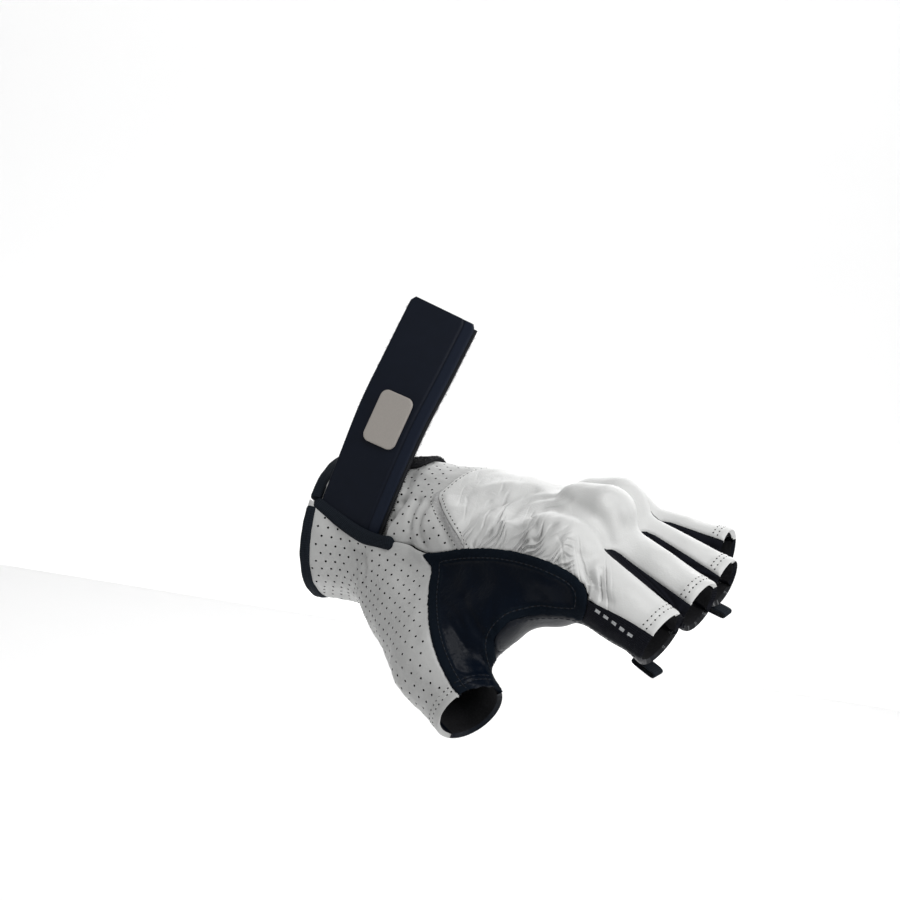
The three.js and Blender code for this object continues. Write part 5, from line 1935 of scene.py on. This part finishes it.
def swept(name, origins, across, out, rings):
    """A closed band along a line of places. Rings hold across and out."""
    places = origins[:, None] + across[:, None] * rings[:, :, :1] + out[:, None] * rings[:, :, 1:]
    middle = rings[len(rings) // 2]
    return bent(name, places, run_length(origins), run_length(np.vstack([middle, middle[:1]])))


def rounded_ends(long, round_off):
    """Share of the full section along a line, falling to nearly nought at the ends."""
    t = np.clip(np.minimum(long, long[-1] - long) / round_off, 0.0, 1)
    return np.sqrt(np.maximum(1 - (1 - t) ** 2, 0.0025))


def binding_rings(share, half_wide, half_thick):
    """A rolled band: a flattened round with a fold line along its outer face."""
    ring = squared_round(np.linspace(0, 2 * math.pi, 36, endpoint=False), half_wide, half_thick, 0.75, 0.85)
    ring[:, 1] -= 0.35 * ridge(ring[:, 0], 0.15 * half_wide, 0.35) * (ring[:, 1] > 0)
    return share[:, None, None] * ring[None]


def bind(name, line, outward, size, wobble=1.0):
    """An elastic binding along a line."""
    across = unit(np.cross(outward, unit(np.gradient(line, axis=0))))
    rings = binding_rings(rounded_ends(run_length(line), size["ends"]), size["half_wide"], size["half_thick"])
    obj = swept(name, line, across, outward, rings * wobble)
    dress(obj, elastic())
    finish(obj, name)


class BuildBindings(bpy.types.Operator):
    """Elastic bindings round the wrist opening and along the vent"""

    bl_idname = "glove.bindings"
    bl_label = "Bindings"

    def execute(self, context):
        angle = VENT_ANGLE + np.linspace(0.05, 2 * math.pi - 0.05, 240)
        hy, hz = (half - RIM_BINDING["inset"] for half in cuff_halves(RIM_BINDING["x"]))
        y, z = hy * np.cos(angle), hz * np.sin(angle)
        line = np.stack([RIM_BINDING["x"] - RIM_TILT * z, y, z], 1)
        outward = unit(np.stack([np.zeros_like(y), y / hy**2, z / hz**2], 1))
        bind("wrist_binding", line, outward, RIM_BINDING, 1 + 0.03 * waves(line, 7, 91)[:, None, None])
        outward = unit(form_field(VENT_LINE)[1])
        tangent = unit(np.gradient(VENT_LINE, axis=0))
        outward = unit(outward - (outward * tangent).sum(1, keepdims=True) * tangent)
        bind("vent_binding", VENT_LINE, outward, VENT_BINDING)
        return {"FINISHED"}


def strap_frames(count):
    """Places along the strap with its across and out directions."""
    rows = np.array([[r["along"], r["up"], r["toward"], r["turn"]] for r in STRAP_LINE])
    rows = np.vstack([rows[0] - 0.6 * (rows[1] - rows[0]), rows])
    line = smooth_line(rows, count)
    at = line[:, :3]
    tangent = unit(np.gradient(at, axis=0))
    flat = unit(np.stack([tangent[:, 1], -tangent[:, 0], np.zeros(count)], 1))
    turn = np.radians(line[:, 3:])
    face = unit(flat * np.cos(turn) + np.array([0, 0, 1.0]) * np.sin(turn))
    out = unit(np.cross(face, tangent))
    return SIDE.world(at), face @ SIDE.rows, out @ SIDE.rows


def band_outline(half, low, high, count, roll=0.5, top=None):
    """Cross section of a flat band: across and out, with rolled edges and a shaped top."""
    x = np.linspace(-half + roll, half - roll, count)
    shape = top(x) if top else np.zeros(count)
    turn = np.linspace(-math.pi / 2, math.pi / 2, 7)
    middle, r = (low + high) / 2, (high - low) / 2
    right = np.stack([half - roll + roll * np.cos(turn), middle + r * np.sin(turn)], 1)
    left = np.stack([-half + roll - roll * np.cos(turn), middle - r * np.sin(turn)], 1)
    upper = np.stack([x[::-1], high + shape[::-1]], 1)
    lower = np.stack([x, np.full(count, low)], 1)
    right[:, 1] += shape[-1] * (right[:, 1] > middle)
    return np.vstack([upper[1:-1], left, lower[1:-1], right])


def bristles(foot, away, spread, size, rng):
    """Little spikes off a face, each leaning its own way."""
    away = unit(away + rng.normal(0, spread, foot.shape))
    lean = unit(np.cross(away, rng.normal(0, 1, foot.shape)))
    return copies("spike", foot + away * 0.2, lean, np.cross(away, lean), away, size)


class BuildStrap(bpy.types.Operator):
    """Wrist strap pulled up: smooth face with a lower border, hook tape under it, and its patch"""

    bl_idname = "glove.strap"
    bl_label = "Strap"

    def execute(self, context):
        count = 130
        at, face, out = strap_frames(count)
        long = run_length(at)
        self.face(at, face, out, long)
        self.hook(at, face, out, long)
        self.patch(*(rows[np.searchsorted(long, STRAP_PATCH["at"])] for rows in (at, face, out)))
        return {"FINISHED"}

    @staticmethod
    def face(at, face, out, long):
        half, groove = STRAP["half"], STRAP["groove"]

        def top(x):
            low = -0.3 * step(x, groove, groove + 0.6) - 0.35 * step(x, half - 1.0, half)
            return -0.55 * ridge(x, groove, 0.42) + low - 0.3 * step(-x, half - 1.1, half)

        rings = np.repeat(band_outline(half, 0.0, STRAP["thick"], 90, top=top)[None], len(at), axis=0)
        rings[:, :, 0] *= (1 - 0.1 * np.clip(1 - (long[-1] - long) / 3, 0, 1) ** 2)[:, None]
        obj = swept("strap_face", at, face, out, rings)
        v = points_of(obj) / MM
        i = nearest_of(at)(v)
        across = np.einsum("ij,ij->i", v - at[i], face[i])
        set_attribute(obj, "border", step(across, groove + 0.2, groove + 0.8))
        dress(obj, strap_rubber())
        finish(obj, "strap_face", 40)

    @staticmethod
    def hook(at, face, out, long):
        half, low, count = STRAP_HOOKS["half"], STRAP_HOOKS["low"], STRAP_HOOKS["count"]
        use = (long > 0.02 * long[-1]) & (long < 0.985 * long[-1])
        rings = np.repeat(band_outline(half, low, STRAP_HOOKS["high"], 40)[None], use.sum(), axis=0)
        obj = swept("strap_hook", at[use], face[use], out[use], rings)
        dress(obj, hook_tape())
        rng = np.random.default_rng(8)
        share = rng.uniform(0.03, 0.97, count)
        side = rng.choice([1.0, -1.0], count, p=[0.75, 0.25])
        edge = rng.random(count) < 0.55
        place = np.where(edge, side * half, rng.uniform(-13.5, 13.5, count))
        k = (share * (len(at) - 1)).astype(int)
        deep = np.where(edge, rng.uniform(0.5, 2.0, count), -low)
        foot = at[k] + face[k] * place[:, None] - out[k] * deep[:, None]
        away = np.where(edge[:, None], face[k] * side[:, None], -out[k])
        join_into(obj, [(*bristles(foot, away, 0.35, (0.1, 0.1, 0.32), rng), hook_tape())])
        finish(obj, "strap_hook")
        flat = (0.0292, long[use][-1] * MM - long[use][0] * MM)

    @staticmethod
    def patch(at, face, out):
        levels = np.array([0.0, 0.55, 0.78, 0.88, 0.9, 0.9])
        inset = np.array([0.0, 0.0, 0.12, 0.35, 0.6, 1.1])
        w, l, r = (STRAP_PATCH[k] for k in ("half_wide", "half_long", "corner"))
        corner = np.linspace(0, math.pi / 2, 9)
        base = []
        for k, (cx, cy) in enumerate(((w - r, l - r), (r - w, l - r), (r - w, r - l), (w - r, r - l))):
            a = corner + k * math.pi / 2
            base.append(np.stack([cx + r * np.cos(a), cy + r * np.sin(a)], 1))
        base = np.vstack(base)
        rings = np.stack([base * (1 - np.array([i / w, i / l])) for i in inset])
        origin = at + out * (STRAP_PATCH["lift"] + levels[:, None])
        across, along = (np.repeat(v[None], len(levels), 0) for v in (face, np.cross(out, face)))
        obj = swept("strap_patch", origin, across, along, rings)
        dress(obj, grey_patch())
        finish(obj, "strap_patch", 30)


class BuildLoopPad(bpy.types.Operator):
    """Pile pad on the back of the wrist, with its short loops"""

    bl_idname = "glove.loop_pad"
    bl_label = "Loop pad"

    def execute(self, context):
        p = Piece("loop_pad")
        p.unwrap((1, 0, 0))
        p.out += 2.1
        p.soften(depth=0.12, wavelength=5, seed=14)
        p.round_edge(depth=0.7, width=1.3)
        obj = wall(p, pile(), pile())
        rng = np.random.default_rng(5)
        surface = p.surface()
        weight = space_areas(surface, p.tri)
        t = p.tri[rng.choice(len(p.tri), PAD_LOOPS, p=weight / weight.sum())]
        w = rng.dirichlet((1, 1, 1), PAD_LOOPS)[:, :, None]
        foot, away = (surface[t] * w).sum(1), unit((p.n[t] * w).sum(1))
        join_into(obj, [(*bristles(foot, away, 0.45, (0.11, 0.11, 0.3), rng), pile())])
        finish(obj, "loop_pad")
        declare(obj, p)
        return {"FINISHED"}


class BuildSlider(bpy.types.Operator):
    """Padded oval slider on the heel of the hand, with its rim and small square holes"""

    bl_idname = "glove.slider"
    bl_label = "Palm slider"

    def execute(self, context):
        z = unit(np.array(SLIDER["normal"], float))
        x = np.array(SLIDER["along"], float)
        x = unit(x - (x @ z) * z)
        axes = Axes(HAND.world(SLIDER["at"]), x @ HAND.rows, np.cross(z, x) @ HAND.rows, z @ HAND.rows)
        oval = squared_round(np.linspace(0, 2 * math.pi, 220, endpoint=False), 1, 1, 2 / 2.6, 2 / 2.6)
        half = np.array([SLIDER["length"] / 2, SLIDER["width"] / 2])
        rows = SLIDER_UNDER + SLIDER_OVER
        flat = np.vstack([oval * (half - inset) for inset, _ in rows])
        high = self.seat(axes, flat) + np.repeat([high for _, high in rows], len(oval))
        places = axes.world(np.column_stack([flat, high])).reshape(len(rows), len(oval), 3)
        obj = bent("palm_slider", places, np.arange(len(rows)), run_length(np.vstack([oval, oval[:1]])))
        self.holes(obj, axes)
        dress(obj, slider_rubber())
        finish(obj, "palm_slider", 50)
        return {"FINISHED"}

    @staticmethod
    def seat(axes, flat):
        """Height of the leather over the slider's frame."""
        high = np.full(len(flat), 12.0)
        for _ in range(25):
            d, _ = form_field(axes.world(np.column_stack([flat, high])))
            high = high - 0.8 * d
        return high

    def holes(self, obj, axes):
        h = SLIDER_HOLES
        deselect()
        cubes = []
        for row in range(h["rows"]):
            for col in range(h["columns"]):
                along = SLIDER["length"] / 2 - h["first"] - col * h["pitch"]
                flat = np.array([[along, h["low"] + row * h["pitch"]]])
                high = self.seat(axes, flat)[0] + h["floor"] + h["height"] / 2
                bpy.ops.mesh.primitive_cube_add(size=1)
                cube = bpy.context.object
                local = points_of(cube) * [h["width"], h["width"], h["height"]] + [*flat[0], high]
                set_points(cube, axes.world(local) * MM)
                cubes.append(cube)
        pick(*cubes)
        bpy.ops.object.join()
        cut_out(obj, bpy.context.object, "the slider's holes", solver="EXACT")


class BuildTabs(bpy.types.Operator):
    """Tape loops under the index and ring finger cuffs"""

    bl_idname = "glove.tabs"
    bl_label = "Pull tabs"

    def execute(self, context):
        for name in ("index", "ring"):
            f = FINGERS[name]
            flex = math.radians(f["flex"])
            along = heading(f["splay"], f["flex"])
            down = np.array([-math.sin(flex), 0, -math.cos(flex)])
            at = np.array(f["mcp"]) + along * (f["cuff"] - 0.5) + down * (f["r1"] + 1.6)
            rows = np.array([along, down, np.cross(along, down)]) @ HAND.rows
            axes = Axes(HAND.world(at), *rows)
            n = TAB["count"]
            turn = np.linspace(0, 2 * math.pi, n, endpoint=False)
            centre = squared_round(turn, TAB["half_long"], TAB["half_thick"], 0.35, 0.6)
            facing = unit(np.gradient(np.vstack([centre[-1:], centre, centre[:1]]), axis=0)[1:-1])
            normal = np.stack([facing[:, 1], -facing[:, 0]], 1)
            closed = np.r_[np.arange(n), 0]
            o = axes.world(np.column_stack([centre, np.zeros(n)]))[closed]
            across = np.repeat(axes.rows[2][None], n + 1, 0)
            out = (np.column_stack([normal, np.zeros(n)]) @ axes.rows)[closed]
            ring = band_outline(TAB["half_wide"], -TAB["tape"], TAB["tape"], 12, TAB["tape"])
            obj = swept(f"pull_tab_{name}", o, across, out, np.repeat(ring[None], n + 1, axis=0))
            dress(obj, elastic())
            finish(obj, f"pull_tab_{name}")
        return {"FINISHED"}


# Studio.


@look
def paper():
    pale = tuple(colours().floor)
    it = Look("paper", pale, 0.9, Specular_IOR_Level=0.2)
    it.put("Base Color", it.mix(it.noise(300.0), shade(pale, 0.985), pale))
    return it


class BuildStudio(bpy.types.Operator):
    """Pale sweep under and behind the glove, soft lights and the camera"""

    bl_idname = "glove.studio"
    bl_label = "Studio"

    def execute(self, context):
        deselect()
        bpy.ops.mesh.primitive_grid_add(x_subdivisions=48, y_subdivisions=48, size=1)
        sweep = bpy.context.object
        sweep.name = "studio_sweep"
        q = points_of(sweep)
        level = view_axes(CAMERA["turn"], 0, 0).rows
        arc, flat = SWEEP["bend"], SWEEP["flat"]
        run = (q[:, 1] + 0.5) * SWEEP["length"]
        turn = np.clip((run - flat) / arc, 0, math.pi / 2)
        back = np.where(run < flat, run, flat + arc * np.sin(turn))
        high = arc * (1 - np.cos(turn)) + np.maximum(run - flat - arc * math.pi / 2, 0)
        across = (q[:, 0] * SWEEP["width"])[:, None] * level[0]
        v = across + (SWEEP["front"] - back)[:, None] * level[2] + (high - SWEEP["drop"])[:, None] * level[1]
        set_points(sweep, v)
        dress(sweep, paper())
        bpy.ops.object.shade_smooth()
        centre = np.array(CAMERA["target"]) * MM
        rig = view_axes(CAMERA["turn"], CAMERA["raise"], 0)
        for row in LAMPS:
            place = centre + rig.rows.T @ np.array(row["place"])
            self.lamp(row["name"], place, place - centre, row["size"], row["power"])
        self.lamp("backdrop", centre - level[2] * 1.3 + level[1] * 0.5, level[2], 3.0, 24.0)
        self.lamp("floor", centre - level[1] * 0.27 - level[2] * 0.4, level[1], 2.6, 5.5)
        world = bpy.data.worlds.new("studio")
        world.use_nodes = True
        background = world.node_tree.nodes["Background"]
        background.inputs["Color"].default_value = (1, 1, 1, 1)
        background.inputs["Strength"].default_value = WORLD_LIGHT
        context.scene.world = world
        context.scene.view_settings.view_transform = "Standard"
        frame_axes = view_axes(CAMERA["turn"], CAMERA["raise"], CAMERA["roll"])
        camera = bpy.data.cameras.new("camera")
        camera.sensor_width = 36
        camera.lens = CAMERA["focal"] * 36 / 900
        camera.clip_end = 50
        obj = bpy.data.objects.new("camera", camera)
        context.scene.collection.objects.link(obj)
        place = centre + frame_axes.rows[2] * CAMERA["distance"] * MM
        turn = Matrix(frame_axes.rows.tolist()).transposed().to_4x4()
        obj.matrix_world = Matrix.Translation(Vector(place)) @ turn
        context.scene.camera = obj
        return {"FINISHED"}

    @staticmethod
    def lamp(name, place, behind, size, power):
        """A round soft light at a place, shining away from the direction behind it."""
        light = bpy.data.lights.new(name, "AREA")
        light.shape = "DISK"
        light.size = size
        light.energy = power
        obj = bpy.data.objects.new(f"light_{name}", light)
        bpy.context.scene.collection.objects.link(obj)
        obj.location = place
        obj.rotation_euler = Vector(behind).to_track_quat("Z", "Y").to_euler()


class GlovePanel(bpy.types.Panel):
    """Sizes, colours and steps of the glove"""

    bl_idname = "VIEW3D_PT_glove"
    bl_label = "Motorcycle Glove"
    bl_space_type = "VIEW_3D"
    bl_region_type = "UI"
    bl_category = "Glove"

    def draw(self, context):
        for group in (context.scene.glove_sizes, context.scene.glove_colours):
            box = self.layout.box()
            for name in group.__annotations__:
                box.prop(group, name)
        for step_class in STEPS:
            self.layout.operator(step_class.bl_idname)


STEPS = (
    BuildBack, BuildPerforated, BuildWeb, BuildPalm, BuildGrip, BuildStretch, BuildBindings, BuildStrap,
    BuildLoopPad, BuildSlider, BuildTabs, BuildStudio,
)
CLASSES = (GloveSizes, GloveColours, *STEPS, GlovePanel)


def register():
    for c in CLASSES:
        bpy.utils.register_class(c)
    bpy.types.Scene.glove_sizes = bpy.props.PointerProperty(type=GloveSizes)
    bpy.types.Scene.glove_colours = bpy.props.PointerProperty(type=GloveColours)


def unregister():
    del bpy.types.Scene.glove_colours
    del bpy.types.Scene.glove_sizes
    for c in reversed(CLASSES):
        bpy.utils.unregister_class(c)


def main():
    register()
    for step_class in STEPS:
        group, name = step_class.bl_idname.split(".")
        getattr(getattr(bpy.ops, group), name)()


if __name__ == "__main__":
    main()
